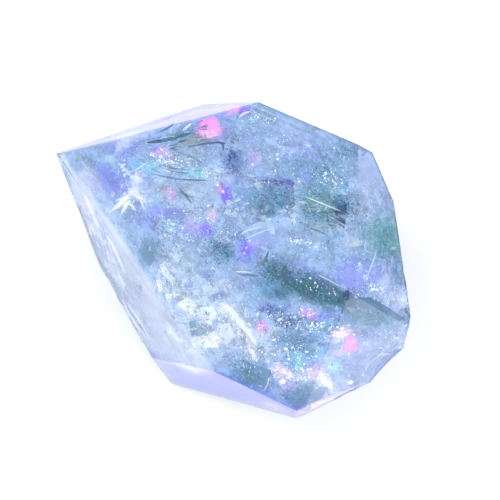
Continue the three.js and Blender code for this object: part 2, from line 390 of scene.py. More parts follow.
def face_tints(x, y, face):
    """The tint of the face above each place: from its first to its second along its heading."""
    tints = np.empty((*x.shape, 3))
    for kind, (_, start, end, heading) in UPPER_FACES.items():
        inside = face == kind
        if inside.any():
            along, _ = turned(x, y, -heading)
            low, high = along[inside].min(), along[inside].max()
            share = ((along[inside] - low) / (high - low + 1e-9))[:, None]
            tints[inside] = start * (1 - share) + end * share
    return tints


def mist_tints(x, y, face):
    """Tint and crackle of the mist at places in millimetres.

    A face's tint is shifted towards lavender and steel by broad noise, then each patch is laid
    over it with ragged edges. The west band is streaked with pearl and lavender down its
    length, and last a fine noise makes the mist lighter and darker.
    """
    ragged_x = x + 0.9 * (soft_noise(x, y, size=1.4) - 0.5)
    ragged_y = y + 0.9 * (soft_noise(x + 31, y + 12, size=1.4) - 0.5)
    tints = face_tints(x, y, face)
    wide = np.isin(face, WIDE_FACES)
    to_lavender = np.clip(3.0 * (soft_noise(x + 7, y, size=2.6) - 0.45), 0, 1)
    to_steel = np.clip(3.0 * (soft_noise(x, y + 23, size=1.9) - 0.52), 0, 1)
    tints = mixed(tints, wide * 0.6 * to_lavender, LAVENDER)
    tints = mixed(tints, wide * 0.5 * to_steel, STEEL)
    for centre, radii, turn, patch, strength in PATCHES:
        fall = smooth_fall(oval(ragged_x, ragged_y, centre, radii, turn), inner=0.35)
        tints = mixed(tints, strength * fall, patch)
    crackle = np.where(wide, 1.0, 0.3)
    for centre, radii, turn in CALM_PLACES:
        crackle = crackle * (1 - 0.85 * smooth_fall(oval(ragged_x, ragged_y, centre, radii, turn)))
    along, across = turned(x, y, -WEST_HEADING)
    streaks = soft_noise(across + 0.2 * np.sin(along), 0.07 * along, size=0.35, fade=0.7) - 0.5
    west = face == WEST_BAND
    tints = mixed(tints, west * np.clip(2.2 * streaks, 0, 0.6), PEARL)
    tints = mixed(tints, west * np.clip(-2.6 * streaks, 0, 0.6), LAVENDER)
    grain = 0.5 * (soft_noise(x, y, size=0.8, layers=5, fade=0.7) - 0.5)
    grain = grain * np.where(wide, 0.3 + 0.7 * crackle, 0.15)
    return np.clip(tints * (1 + grain)[..., None], 0, 1), crackle


# ---------------------------------------------------------------- meshes


def add_object(name, data):
    """A new object with this data, in the scene."""
    added = bpy.data.objects.new(name, data)
    bpy.context.collection.objects.link(added)
    return added


def add_piece(name, points, faces, material, tones, **numbers):
    """A mesh object at the origin, on the crystal's body, with a tone and numbers per point."""
    mesh = bpy.data.meshes.new(name)
    mesh.from_pydata(points.tolist(), [], faces.tolist())
    layer = mesh.color_attributes.new("tone", "FLOAT_COLOR", "POINT")
    layer.data.foreach_set("color", np.c_[tones, np.ones(len(tones))].ravel())
    for label, values in numbers.items():
        layer = mesh.attributes.new(label, "FLOAT", "POINT")
        layer.data.foreach_set("value", values.ravel())
    mesh.materials.append(material)
    mesh.update()
    piece = add_object(name, mesh)
    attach(piece, "root")


def matrices(*rows):
    """One 3 x 3 matrix per place, from three rows of three arrays."""
    return np.stack([np.stack(row, -1) for row in rows], axis=1)


def random_turns(rng, count):
    """Random rotation matrices, from normalised random quaternions."""
    q = rng.normal(size=(count, 4))
    q /= np.linalg.norm(q, axis=1, keepdims=True)
    w, x, y, z = q.T
    return matrices(
        (1 - 2 * (y * y + z * z), 2 * (x * y - z * w), 2 * (x * z + y * w)),
        (2 * (x * y + z * w), 1 - 2 * (x * x + z * z), 2 * (y * z - x * w)),
        (2 * (x * z - y * w), 2 * (y * z + x * w), 1 - 2 * (x * x + y * y)),
    )


def tilted_turns(rng, count, lean):
    """Rotations that lean a level flake towards a random side.

    It leans by lean radians times the square root of a random share.
    """
    side = rng.uniform(0, 2 * np.pi, count)
    tip = lean * np.sqrt(rng.uniform(0, 1, count))
    spin = rng.uniform(0, 2 * np.pi, count)
    zero, one = np.zeros(count), np.ones(count)

    def about_z(t):
        """Turns by t about Z."""
        return matrices((np.cos(t), -np.sin(t), zero), (np.sin(t), np.cos(t), zero), (zero, zero, one))

    over = matrices((one, zero, zero), (zero, np.cos(tip), -np.sin(tip)), (zero, np.sin(tip), np.cos(tip)))
    return about_z(side) @ over @ about_z(spin - side)


def bipyramid(belt):
    """Points and faces of two pyramids base to base, with these corners round their bases."""
    count = len(belt)
    k = np.arange(count)
    after = (k + 1) % count
    points = np.array([(x, y, 0) for x, y in belt] + [(0, 0, 1), (0, 0, -1)], float)
    top = np.stack([k, after, np.full(count, count)], 1)
    bottom = np.stack([after, k, np.full(count, count + 1)], 1)
    return points, np.concatenate([top, bottom])


GRAIN = bipyramid([(1, 0), (0, 1), (-1, 0), (0, -1)])
FLAKE = bipyramid([(1, 0), (-0.6, 0.9), (-0.4, -0.8)])


def repeated(faces, points, count):
    """The faces of count like shapes in a row, each with this many points."""
    return (faces + points * np.arange(count)[:, None, None]).reshape(-1, faces.shape[1])


def scatter(name, rng, shape, turns, centres, sizes, colours, material, flat):
    """One shape at every centre that lies inside the crystal, all joined.

    It is stretched to its size, to 0.45 to 1 of that across and to flat of that in height, and
    then turned.
    """
    keep = depth_inside(centres) > SKIN
    centres, sizes, colours, turns = centres[keep], sizes[keep], colours[keep], turns[keep]
    corner, face = shape
    stretch = np.stack([sizes, sizes * rng.uniform(0.45, 1.0, len(sizes)), sizes * flat], axis=1)
    local = corner[None] * stretch[:, None, :]
    points = np.einsum("nij,npj->npi", turns, local) + centres[:, None, :]
    tones = np.repeat(colours, len(corner), axis=0)
    faces = repeated(face, len(corner), len(sizes))
    add_piece(name, points.reshape(-1, 3), faces, material, tones)


def level_places(rng, count):
    """Random places x and y in mm, all over the crystal's box."""
    return [rng.uniform(low, high, count) for low, high in zip(LOW[:2] / MM, HIGH[:2] / MM)]


def oval_cloud(rng, count, centre, radii, turn, under, thick):
    """Places spread as a normal curve in an oval, with radii in mm and turned about Z.

    Half a radius is one standard deviation. The places lie under millimetres below the upper
    faces, and deeper by thick times the size of a normal draw.
    """
    spread = rng.normal(size=(count, 2)) * 0.5 * np.array(radii)
    x, y = turned(spread[:, 0], spread[:, 1], turn, *centre)
    sunk = under + thick * np.abs(rng.normal(size=count))
    return under_ceiling(x, y, sunk, sunk)[0]


def power_sizes(rng, count, smallest, power, most):
    """Random sizes from the smallest to most times it, rarer by a power as they grow."""
    return smallest * (1 + rng.pareto(power, count)).clip(1, most)


def brightened(rng, tints, spread):
    """Tints made lighter or darker, each by its own share."""
    return np.clip(tints * np.exp(spread * rng.normal(size=(len(tints), 1))), 0, 1)


def level_grid(low, high, step):
    """The two coordinates of a grid's points, a step apart from the low corner to the high one."""
    return np.meshgrid(np.arange(low[0], high[0], step), np.arange(low[1], high[1], step), indexing="ij")


def grid_faces(rows, columns):
    """The four corners of each cell of a grid of points that is stored row by row."""
    i, j = np.meshgrid(np.arange(rows - 1), np.arange(columns - 1), indexing="ij")
    corner = i * columns + j
    return np.stack([corner, corner + columns, corner + columns + 1, corner + 1], -1).reshape(-1, 4)


def pulled_inside(points, clear, rounds=6):
    """Points moved inwards, each round square to the nearest face, until they lie clear of all."""
    for _ in range(rounds):
        depth = FACE_DISTANCES - points @ FACE_NORMALS.T
        short = np.clip(1.02 * clear - depth.min(-1), 0, None)
        points = points - short[:, None] * FACE_NORMALS[depth.argmin(-1)]
    return points


def cut_to_crystal(points, faces, clear):
    """The faces whose corners all lie deeper than clear, and the points that they use."""
    depth = depth_inside(points)
    faces = faces[(depth[faces] > clear).all(1)]
    used, renumbered = np.unique(faces, return_inverse=True)
    return used, renumbered.reshape(faces.shape), depth[used]


def mist_share(tints, strength):
    """A mist's share of the light: its strength, and more where its tint is dark.

    It rises from the strength at a mean tint of 0.45 to 1.6, which hides all below, at 0.20.
    """
    dark = np.clip((0.45 - tints.mean(1)) / 0.25, 0, 1)
    return strength + (1.6 - strength) * dark


def drawn_in(x, y, depth, rounds=8):
    """(x, y) drawn level inwards, past no steep face, for places at a depth under the wide faces.

    Each round moves a place square to the steep face that it oversteps the most. Also says
    which places were inside from the start.
    """
    normal, distance = FACE_NORMALS[IS_STEEP], FACE_DISTANCES[IS_STEEP] - 1.1 * THIN_SKIN
    level = np.hypot(normal[:, 0], normal[:, 1])
    begun = None
    for _ in range(rounds):
        over = (under_ceiling(x, y, depth, FAR_OUT)[0] @ normal.T - distance) / level / MM
        worst, reach = over.argmax(-1), over.max(-1)
        begun = reach < 0 if begun is None else begun
        reach = np.clip(reach, 0, None) / level[worst]
        x, y = x - reach * normal[worst, 0], y - reach * normal[worst, 1]
    return x, y, begun


def wide_mist(under, swell, rim_under, step, strength):
    """A sheet that follows the wide faces from inside, as points, faces, tints, shares and crackle.

    It lies under and up to swell more millimetres down, as a broad noise says, and comes up to
    rim_under at the rim.
    """
    x, y = level_grid(LOW / MM, HIGH / MM, step)
    swollen = under - rim_under + swell * soft_noise(x + 3 * under, y, size=3.6, layers=3)
    depth = rim_under + np.clip(distance_to_rim(x, y) / RIM_RISE, 0, 1) * swollen
    x, y, begun = drawn_in(x, y, depth)
    points, face = under_ceiling(x, y, depth, FAR_OUT)
    cells = grid_faces(*x.shape)
    cells = cells[begun.ravel()[cells].any(1)]
    used, faces, _ = cut_to_crystal(points.reshape(-1, 3), cells, 0.5 * THIN_SKIN)
    tints, crackle = mist_tints(x.ravel()[used], y.ravel()[used], face.ravel()[used])
    return points.reshape(-1, 3)[used], faces, tints, mist_share(tints, strength), crackle


def plane_mist(match, kind, under, fade, step, strength):
    """A sheet under one flat face, as points, faces, tints, shares and crackle.

    Its grid lies in the face's plane moved inwards by under millimetres, with the tints of a
    kind of upper face. It thins out evenly down the face, to six tenths of its strength, in
    wisps as a noise says, and to nothing over the last millimetres before its neighbours: over
    fade before those that look up, and over 1.2 before those that look down.
    """
    normal, distance = FACE_NORMALS[match], FACE_DISTANCES[match] / MM - under
    level = np.cross((0, 0, 1), normal)
    level /= np.linalg.norm(level)
    rise = np.cross(normal, level)
    u, v = level_grid((-HALF_SPAN, -HALF_SPAN), (HALF_SPAN, HALF_SPAN), step)
    points = (distance * normal + u.reshape(-1, 1) * level + v.reshape(-1, 1) * rise) * MM
    cells = grid_faces(*u.shape)
    cells = cells[(depth_inside(points)[cells] > THIN_SKIN).any(1)]
    points = pulled_inside(points, THIN_SKIN)
    used, faces, _ = cut_to_crystal(points, cells, THIN_SKIN)
    points = points[used]
    tints, crackle = mist_tints(points[:, 0] / MM, points[:, 1] / MM, np.full(len(used), kind))
    up = (points[:, 2] - points[:, 2].min()) / np.ptp(points[:, 2])
    others = np.arange(len(FACE_NORMALS)) != match
    reach = np.where(FACE_NORMALS[others, 2] > 0, fade, 1.2) * MM
    aside = ((FACE_DISTANCES[others] - points @ FACE_NORMALS[others].T) / reach).min(-1)
    wisps = 0.55 + 0.8 * soft_noise(points[:, 0] / MM, points[:, 2] / MM, size=1.3)
    share = mist_share(tints, strength) * (0.6 + 0.4 * up) * smooth_fall(1 - aside, inner=0) * wisps
    return points, faces, tints, share, crackle


def steep_mist(kind, under, fade, step, strength):
    """The sheet under one of the steep upper faces."""
    return plane_mist((FACE_NORMALS @ UPPER_FACES[kind][0]).argmax(), kind, under, fade, step, strength)


def drifting_veils(rng, count, material, rings=9, around=30):
    """Curved veils of healed fractures at all slants, scattered through the crystal.

    At the radius r and the angle a, a veil's point is (r cos a, 0.6 r sin a) sizes out, lifted
    by 0.16 sizes times sin(3 x + phase) + sin(2.6 y - phase). Its share comes in wisps, as a
    noise says, and falls to 0 at its rim and towards the crystal's faces.
    """
    r, a = wheel_places(rings, around)
    x, y = r * np.cos(a), r * np.sin(a) * 0.6
    phase = rng.uniform(0, 2 * np.pi, (count, 1))
    z = 0.16 * (np.sin(3 * x + phase) + np.sin(2.6 * y - phase))
    local = np.stack([np.broadcast_to(x, z.shape), np.broadcast_to(y, z.shape), z], -1)
    sizes = rng.uniform(1.6, 5.0, (count, 1, 1)) * MM
    centres = LOW + (HIGH - LOW) * rng.uniform(0.12, 0.88, (count, 3))
    points = np.einsum("nij,npj->npi", random_turns(rng, count), local * sizes) + centres[:, None]
    points = points.reshape(-1, 3)
    faces = repeated(wheel_faces(rings, around), len(x), count)
    tones = VEIL_TONES[rng.choice(len(VEIL_TONES), count)]
    share = (rng.uniform(0.3, 0.8, (count, 1)) * smooth_fall(r, inner=0.3)).ravel()
    used, faces, inside = cut_to_crystal(points, faces, SKIN)
    share = share[used] * np.clip((inside - SKIN) / (0.8 * MM), 0, 1)
    share = share * (0.3 + 1.1 * soft_noise(points[used, 0] / MM, points[used, 1] / MM, size=1.1))
    tints = np.repeat(tones, len(x), axis=0)[used]
    add_piece("drifting_veils", points[used], faces, material, tints, share=share)


def wheel_places(rings, around):
    """Radius and angle of a middle point and of the rings round it, stored from the middle out."""
    out = np.linspace(0, 1, rings + 1)[1:]
    turn = np.linspace(0, 2 * np.pi, around, endpoint=False)
    return np.concatenate([[0], np.repeat(out, around)]), np.concatenate([[0], np.tile(turn, rings)])


def wheel_faces(rings, around):
    """Triangles of a middle point and the rings of points round it."""
    k = np.arange(around)
    after = (k + 1) % around
    low = 1 + around * np.arange(rings - 1)[:, None]
    hub = np.stack([np.zeros(around, int), 1 + k, 1 + after], 1)
    outer = np.stack([low + k, low + around + k, low + around + after], -1)
    inner = np.stack([low + k, low + around + after, low + after], -1)
    return np.concatenate([hub, outer.reshape(-1, 3), inner.reshape(-1, 3)])


def soft_disc(centre, radii, turn, colour, under, strength, rings=10, around=40, bow=0.15):
    """An oval sheet whose share falls from its strength to 0 at its rim, and softer if it is weak.

    At the radius r from 0 to 1 and the angle a, the point is (rx r cos a, ry r sin a), and its
    rim wanders with the sines of 3a and 5a, less if it is strong. It lies under millimetres
    below the upper faces, and bows down by bow r squared.
    """
    r, a = wheel_places(rings, around)
    phase = centre[0] + 2 * centre[1]
    wander = 1 + (1.3 - strength) * (0.20 * np.sin(3 * a + phase) + 0.14 * np.sin(5 * a - phase))
    x = radii[0] * r * np.cos(a) * wander
    y = radii[1] * r * np.sin(a) * wander
    x, y = turned(x, y, turn)
    points = under_faces(x + centre[0], y + centre[1], under + bow * (r * r))
    share = strength * smooth_fall(r, inner=np.clip(strength - 0.5, 0.05, 0.45))
    return points, wheel_faces(rings, around), np.tile(colour, (len(points), 1)), share


def join_sheets(name, sheets, material, strength=1.0):
    """Many sheets as one piece, with their shares multiplied by its strength.

    The last values of a sheet are its crackle, for which its shares stand where it has none.
    """
    starts = np.cumsum([0] + [len(sheet[0]) for sheet in sheets])
    faces = np.concatenate([sheet[1] + start for sheet, start in zip(sheets, starts)])
    points, tones, shares, crackle = (np.concatenate([sheet[k] for sheet in sheets]) for k in (0, 2, 3, -1))
    add_piece(name, points, faces, material, tones, share=strength * shares, crackle=crackle)


def facet(outline, colour, heading, faint, under, rings=4):
    """A sheet with its outline in mm, under millimetres below the upper faces.

    Each side is halved twice, and rings at 1/4, 2/4 and 3/4 of the way out from the middle let it
    follow the faces. Its share is 1 at the point that lies farthest along the heading, and falls
    evenly to faint at the point that lies farthest back.
    """
    outline = np.array(outline, float)
    for _ in range(2):
        outline = np.stack([outline, (outline + np.roll(outline, -1, axis=0)) / 2], 1).reshape(-1, 2)
    count, middle = len(outline), outline.mean(0)
    out = np.linspace(0, 1, rings + 1)[1:, None, None]
    level = np.concatenate([middle[None], (middle + out * (outline - middle)).reshape(-1, 2)])
    points = under_faces(level[:, 0], level[:, 1], under)
    along = level @ np.array([np.cos(np.radians(heading)), np.sin(np.radians(heading))])
    share = faint + (1 - faint) * (along - along.min()) / (along.max() - along.min())
    return points, wheel_faces(rings, count), np.tile(colour, (len(points), 1)), share


def blade(start, end, width, bend, steps=7):
    """Outline of a slender blade, pointed at both ends and bent sideways at its middle.

    At t from 0 to 1, its spine is start + t (end - start), shifted sideways by 4 bend t (1 - t),
    and it is width times sqrt(4 t (1 - t)) (1 - 0.3 t) wide.
    """
    start, end = np.array(start, float), np.array(end, float)
    t = np.linspace(0, 1, steps)[:, None]
    side = np.array([start[1] - end[1], end[0] - start[0]])
    side = side / np.linalg.norm(side)
    spine = start * (1 - t) + end * t + side * bend * 4 * t * (1 - t)
    half = width / 2 * np.sqrt(4 * t * (1 - t)) * (1 - 0.3 * t)
    return np.concatenate([spine - side * half, (spine + side * half)[-2:0:-1]])


def shards(rng, x, y, sizes, heading, narrow, under, tones, strength, corners=7):
    """Flat broken panels round the places (x, y) in mm, as points, faces, tones and shares.

    Corner k of a panel stands at the angle (k + jitter) / corners of a turn and 0.5 to 1 sizes
    out. The panel is narrowed across its heading and leans by up to PANEL_LEAN. Its share is its
    strength at its bright side, and falls off with the cosine of the angle from there.
    """
    count = len(x)
    angle = (np.arange(corners) + rng.uniform(-0.35, 0.35, (count, corners))) * 2 * np.pi / corners
    reach = sizes[:, None] * rng.uniform(0.5, 1.0, (count, corners))
    u, v = reach * np.cos(angle), reach * np.sin(angle) * narrow[:, None]
    px, py = turned(u, v, heading[:, None], x[:, None], y[:, None])
    tilt = rng.uniform(-PANEL_LEAN, PANEL_LEAN, (count, 2))
    px, py = np.c_[px, x], np.c_[py, y]
    sunk = under[:, None] + (px - x[:, None]) * tilt[:, :1] + (py - y[:, None]) * tilt[:, 1:]
    points = under_faces(px, py, sunk)
    bright = rng.uniform(0, 2 * np.pi, count)[:, None]
    share = np.c_[0.6 + 0.5 * np.cos(angle - bright), np.full(count, 0.6)] * strength[:, None]
    ring = np.arange(corners)
    fan = np.stack([np.full(corners, corners), ring, (ring + 1) % corners], 1)
    faces = repeated(fan, corners + 1, count)
    return points.reshape(-1, 3), faces, np.repeat(tones, corners + 1, axis=0), share.ravel()


def cracks(rng, x, y, lengths, widths, heading, under, tones, strength, steps=7):
    """Short curved cracks as ribbons round the places (x, y) in mm.

    At s from -1 to 1 along a crack, its spine is its centre + half its length s along its heading
    + bow (1 - s^2) across it. Its half width is its width times sqrt(1 - s^2) and a little more.
    """
    count = len(x)
    s = np.linspace(-1, 1, steps)[None, :]
    bow = lengths[:, None] * rng.normal(0, 0.12, (count, 1))
    half = widths[:, None] * (np.sqrt(1 - s * s) + 0.08)
    along = lengths[:, None] / 2 * s
    across = np.stack([bow * (1 - s * s) - half, bow * (1 - s * s) + half], -1)
    along = np.repeat(along[..., None], 2, -1)
    px, py = turned(along, across, heading[:, None, None], x[:, None, None], y[:, None, None])
    sunk = np.broadcast_to(under[:, None, None], px.shape)
    points = under_faces(px, py, sunk)
    share = np.repeat((strength[:, None] * (1 - 0.7 * s * s))[..., None], 2, -1)
    faces = repeated(grid_faces(steps, 2), 2 * steps, count)
    return points.reshape(-1, 3), faces, np.repeat(tones, 2 * steps, axis=0), share.ravel()


def keep_inside(sheet):
    """A sheet without the faces that come out of the crystal or too near its faces."""
    points, faces, tones, share = sheet
    used, faces, _ = cut_to_crystal(points, faces, THIN_SKIN)
    return points[used], faces, tones[used], share[used]


# ---------------------------------------------------------------- materials


def new_material(name):
    """A material with an empty node tree. Its glow is too faint to be sampled as a lamp."""
    material = bpy.data.materials.new(name)
    material.cycles.emission_sampling = "NONE"
    material.use_nodes = True
    material.node_tree.nodes.clear()
    return material, material.node_tree


def feed(tree, socket, value):
    """Link an output to a socket, or set a plain value on it."""
    if isinstance(value, bpy.types.NodeSocket):
        tree.links.new(value, socket)
    else:
        socket.default_value = value


def add_node(tree, kind, **inputs):
    """A node that is fed on the named inputs, with _ for each space of a name."""
    node = tree.nodes.new(kind)
    for name, value in inputs.items():
        feed(tree, node.inputs[name.replace("_", " ")], value)
    return node


def add_maths(tree, kind, operation, *values):
    """The output of a Math or Vector Math node that is fed on its inputs in their order."""
    node = tree.nodes.new(kind)
    node.operation = operation
    for socket, value in zip(node.inputs, values):
        feed(tree, socket, value)
    return node.outputs[0]


def point_value(tree, name):
    """The node that reads the value of this name off a piece's points."""
    node = tree.nodes.new("ShaderNodeAttribute")
    node.attribute_name = name
    return node


def finish_material(tree, surface, **others):
    """Connect the shader, and the volume if there is one, to the material's output."""
    add_node(tree, "ShaderNodeOutputMaterial", Surface=surface.outputs["BSDF"], **others)


def quartz_material():
    """Clear quartz: full transmission, with a pale blue taken out of the light by depth."""
    material, tree = new_material("clear_quartz")
    glass = add_node(tree, "ShaderNodeBsdfPrincipled", Base_Color=(1, 1, 1, 1), Roughness=0.02,
                     IOR=QUARTZ_IOR, Transmission_Weight=1.0)
    depth = add_node(tree, "ShaderNodeVolumeAbsorption", Color=(*BODY_TINT, 1), Density=BODY_DENSITY)
    finish_material(tree, glass, Volume=depth.outputs["Volume"])
    return material


def grain_material(name, glow, roughness):
    """Opaque grains in their own tone, with a little glow for the light they gather."""
    material, tree = new_material(name)
    tone = point_value(tree, "tone").outputs["Color"]
    grain = add_node(tree, "ShaderNodeBsdfPrincipled", Base_Color=tone, Roughness=roughness,
                     Emission_Color=tone, Emission_Strength=glow)
    finish_material(tree, grain)
    return material


def finish_film(tree, tone, glow, alpha):
    """The shader of a thin film in this tone, without a shine, that hides alpha of what is below. It glows
    in its tone by glow, painted light that stands in for the light the film gathers.
    """
    film = add_node(tree, "ShaderNodeBsdfPrincipled", Base_Color=tone, Roughness=0.6, Alpha=alpha,
                    Specular_IOR_Level=0.0, Emission_Color=tone, Emission_Strength=glow)
    finish_material(tree, film)


def plain_film(name, glow):
    """A translucent film in its own tone and share, for what is too fine to need a grain."""
    material, tree = new_material(name)
    tone, share = point_value(tree, "tone"), point_value(tree, "share")
    finish_film(tree, tone.outputs["Color"], glow, share.outputs["Fac"])
    return material


def ranged(tree, source, span, low, high):
    """The output of a Map Range node that takes the span of the source to low and high."""
    node = add_node(tree, "ShaderNodeMapRange", Value=source, From_Min=span[0], From_Max=span[1],
                    To_Min=low, To_Max=high)
    return node.outputs["Result"]


def film_material(name, glow, ragged, cell, wisp, contrast):
    """A translucent film in its own tone.

    Cracked cells and a fine noise make the tone lighter and darker where the film's crackle is
    high, and wisps of a finer noise open gaps in it.
    """
    material, tree = new_material(name)
    tone, share, crackle = (point_value(tree, label) for label in ("tone", "share", "crackle"))
    place = tree.nodes.new("ShaderNodeTexCoord").outputs["Object"]
    bend = add_node(tree, "ShaderNodeTexNoise", Vector=place, Scale=cell * 1.6, Detail=1)
    shift = (0.6 / cell,) * 3
    bent = add_maths(tree, "ShaderNodeVectorMath", "MULTIPLY_ADD", bend.outputs["Color"], shift, place)
    cells = add_node(tree, "ShaderNodeTexVoronoi", Vector=bent, Scale=cell, Detail=1)
    channels = add_node(tree, "ShaderNodeSeparateColor", Color=cells.outputs["Color"])
    fine = add_node(tree, "ShaderNodeTexNoise", Vector=place, Scale=cell * 1.3, Detail=4, Roughness=0.72)
    wisps = add_node(tree, "ShaderNodeTexNoise", Vector=place, Scale=wisp, Detail=4, Roughness=0.65)
    cell_light = ranged(tree, channels.outputs["Red"], (0, 1), -0.5 * contrast, 0.5 * contrast)
    fine_light = ranged(tree, fine.outputs["Fac"], (0.3, 0.7), -contrast, contrast)
    change = add_maths(tree, "ShaderNodeMath", "ADD", cell_light, fine_light)
    light = add_maths(tree, "ShaderNodeMath", "MULTIPLY_ADD", change, crackle.outputs["Fac"], 1.0)
    toned = add_maths(tree, "ShaderNodeVectorMath", "MULTIPLY", tone.outputs["Color"], light)
    gaps = ranged(tree, wisps.outputs["Fac"], (0.32, 0.62), 1 - ragged, 1.0)
    alpha = add_maths(tree, "ShaderNodeMath", "MULTIPLY", share.outputs["Fac"], gaps)
    finish_film(tree, toned, glow, alpha)
    return material


# ---------------------------------------------------------------- what lies inside

# Dark clouds of fine grains: centre, radii, turn in degrees, number of grains, two tones.
CLOUDS = [
    ((2.3, 3.9), (1.7, 1.2), 10, 550, PINE, TEAL),
    ((5.7, 3.3), (2.2, 1.3), -12, 720, PINE, SLATE),
    ((7.2, 3.5), (0.6, 0.7), -20, 190, NAVY, SLATE),
    ((3.0, 5.1), (1.8, 0.3), -4, 120, NAVY, INDIGO),
    ((2.9, -0.8), (1.4, 0.8), -20, 500, PINE, SLATE),
    ((5.1, -1.8), (2.5, 0.8), -18, 1300, PINE, TEAL),
    ((7.4, -2.3), (0.35, 0.35), 0, 110, NAVY, SLATE),
    ((9.9, 1.1), (0.9, 1.3), 25, 160, SEA_GREEN, PINE),
    ((0.9, -7.5), (1.6, 0.9), -20, 440, SLATE, STEEL),
    ((4.5, -8.8), (1.2, 0.8), 15, 140, SLATE, STEEL),
    ((-0.9, 0.7), (1.1, 0.8), 0, 260, PINE, SLATE),
    ((3.3, -4.0), (0.8, 0.5), 0, 120, NAVY, INDIGO),
    ((2.4, -3.2), (0.9, 0.3), -5, 80, NAVY, INDIGO),
    ((-0.2, 6.6), (0.6, 0.9), -10, 140, NAVY, INDIGO),
    ((4.0, -5.4), (2.4, 1.2), 0, 330, STEEL, SLATE),
    ((5.0, 6.6), (3.0, 1.8), -20, 390, STEEL, TEAL),
    ((-2.0, 4.0), (3.6, 2.6), 0, 230, STEEL, SLATE),
]

# Fractures that shine: centre, radii, turn, tone, number of glints beside them, and strength.
SHINES = [
    ((-1.60, 8.72), (1.05, 0.95), 0, PINK, 4, 1.0),
    ((-1.55, 8.34), (0.85, 0.45), 3, BLUSH, 12, 0.9),
    ((-0.1, 9.90), (0.9, 0.45), 5, PINK, 8, 0.8),
    ((0.70, 9.85), (0.6, 0.55), -20, VIOLET, 3, 0.8),
    ((-4.85, 7.15), (0.95, 0.5), 0, ORCHID, 14, 0.65),
    ((-5.1, 7.3), (0.5, 0.3), 0, VIOLET, 0, 0.35),
    ((-4.3, 6.9), (0.8, 0.4), -10, BLUSH, 8, 0.35),
    ((-4.0, 4.25), (0.5, 0.65), -30, PINK, 3, 0.60),
    ((-4.4, 4.6), (0.7, 0.4), 30, BLUSH, 2, 0.35),
    ((1.3, 6.7), (0.6, 0.9), -10, ORCHID, 3, 0.55),
    ((-0.50, 4.35), (0.55, 0.85), 10, VIOLET, 5, 0.95),
    ((-0.90, 4.65), (0.3, 0.6), 10, PINK, 2, 0.60),
    ((-1.4, 3.0), (0.65, 0.7), 0, BLUSH, 2, 0.60),
    ((-1.85, 2.0), (0.65, 0.6), -20, VIOLET, 4, 0.90),
    ((-2.7, 2.2), (0.8, 0.6), 0, ORCHID, 2, 0.45),
    ((0.75, 0.6), (0.55, 1.0), -12, VIOLET, 6, 0.72),
    ((1.35, 1.2), (1.0, 0.5), 20, LILAC, 2, 0.60),
    ((2.2, 1.95), (1.2, 0.16), 14, VIOLET, 0, 0.45),
    ((3.6, 5.0), (0.5, 0.35), 5, VIOLET, 0, 0.60),
    ((-2.6, 5.75), (1.3, 0.5), -8, AQUA, 8, 0.85),
    ((-5.8, 6.1), (1.2, 0.5), -8, AQUA, 2, 0.60),
    ((7.55, -5.45), (0.70, 0.80), 0, PINK, 4, 0.90),
    ((7.0, -4.7), (0.95, 0.55), 20, BLUSH, 22, 0.70),
    ((6.9, -4.8), (0.6, 0.25), 10, FROST, 16, 0.90),
    ((6.7, -6.0), (0.6, 0.5), 20, BLUSH, 2, 0.40),
    ((1.86, -4.3), (0.5, 0.6), 0, PINK, 5, 0.60),
    ((4.9, -3.55), (0.85, 0.45), -10, PINK, 16, 0.50),
    ((3.1, -7.3), (1.0, 0.6), -25, BLUSH, 14, 0.75),
    ((3.5, -7.5), (0.8, 0.35), -30, FROST, 20, 0.90),
    ((5.3, -7.3), (0.8, 0.7), -40, BLUSH, 6, 0.65),
    ((6.0, -8.0), (0.8, 0.35), -35, FROST, 20, 0.90),
    ((4.1, -6.3), (0.7, 0.6), 0, AQUA, 10, 0.80),
    ((4.25, -6.9), (0.5, 0.4), 0, MINT, 6, 0.80),
    ((6.5, -7.0), (0.6, 0.55), 0, MINT, 10, 0.85),
    ((4.6, -9.4), (0.8, 0.35), 15, VIOLET, 0, 0.50),
    ((8.9, -1.9), (0.5, 0.7), -40, MINT, 12, 0.50),
    ((8.1, -0.6), (0.25, 0.6), -15, MINT, 6, 0.60),
    ((3.2, -7.95), (0.32, 0.28), 20, PEARL, 3, 1.0),
    ((7.6, -8.0), (0.25, 0.2), 30, PEARL, 3, 0.9),
    ((-4.6, -7.8), (0.2, 0.1), 0, PEARL, 2, 0.90),
]

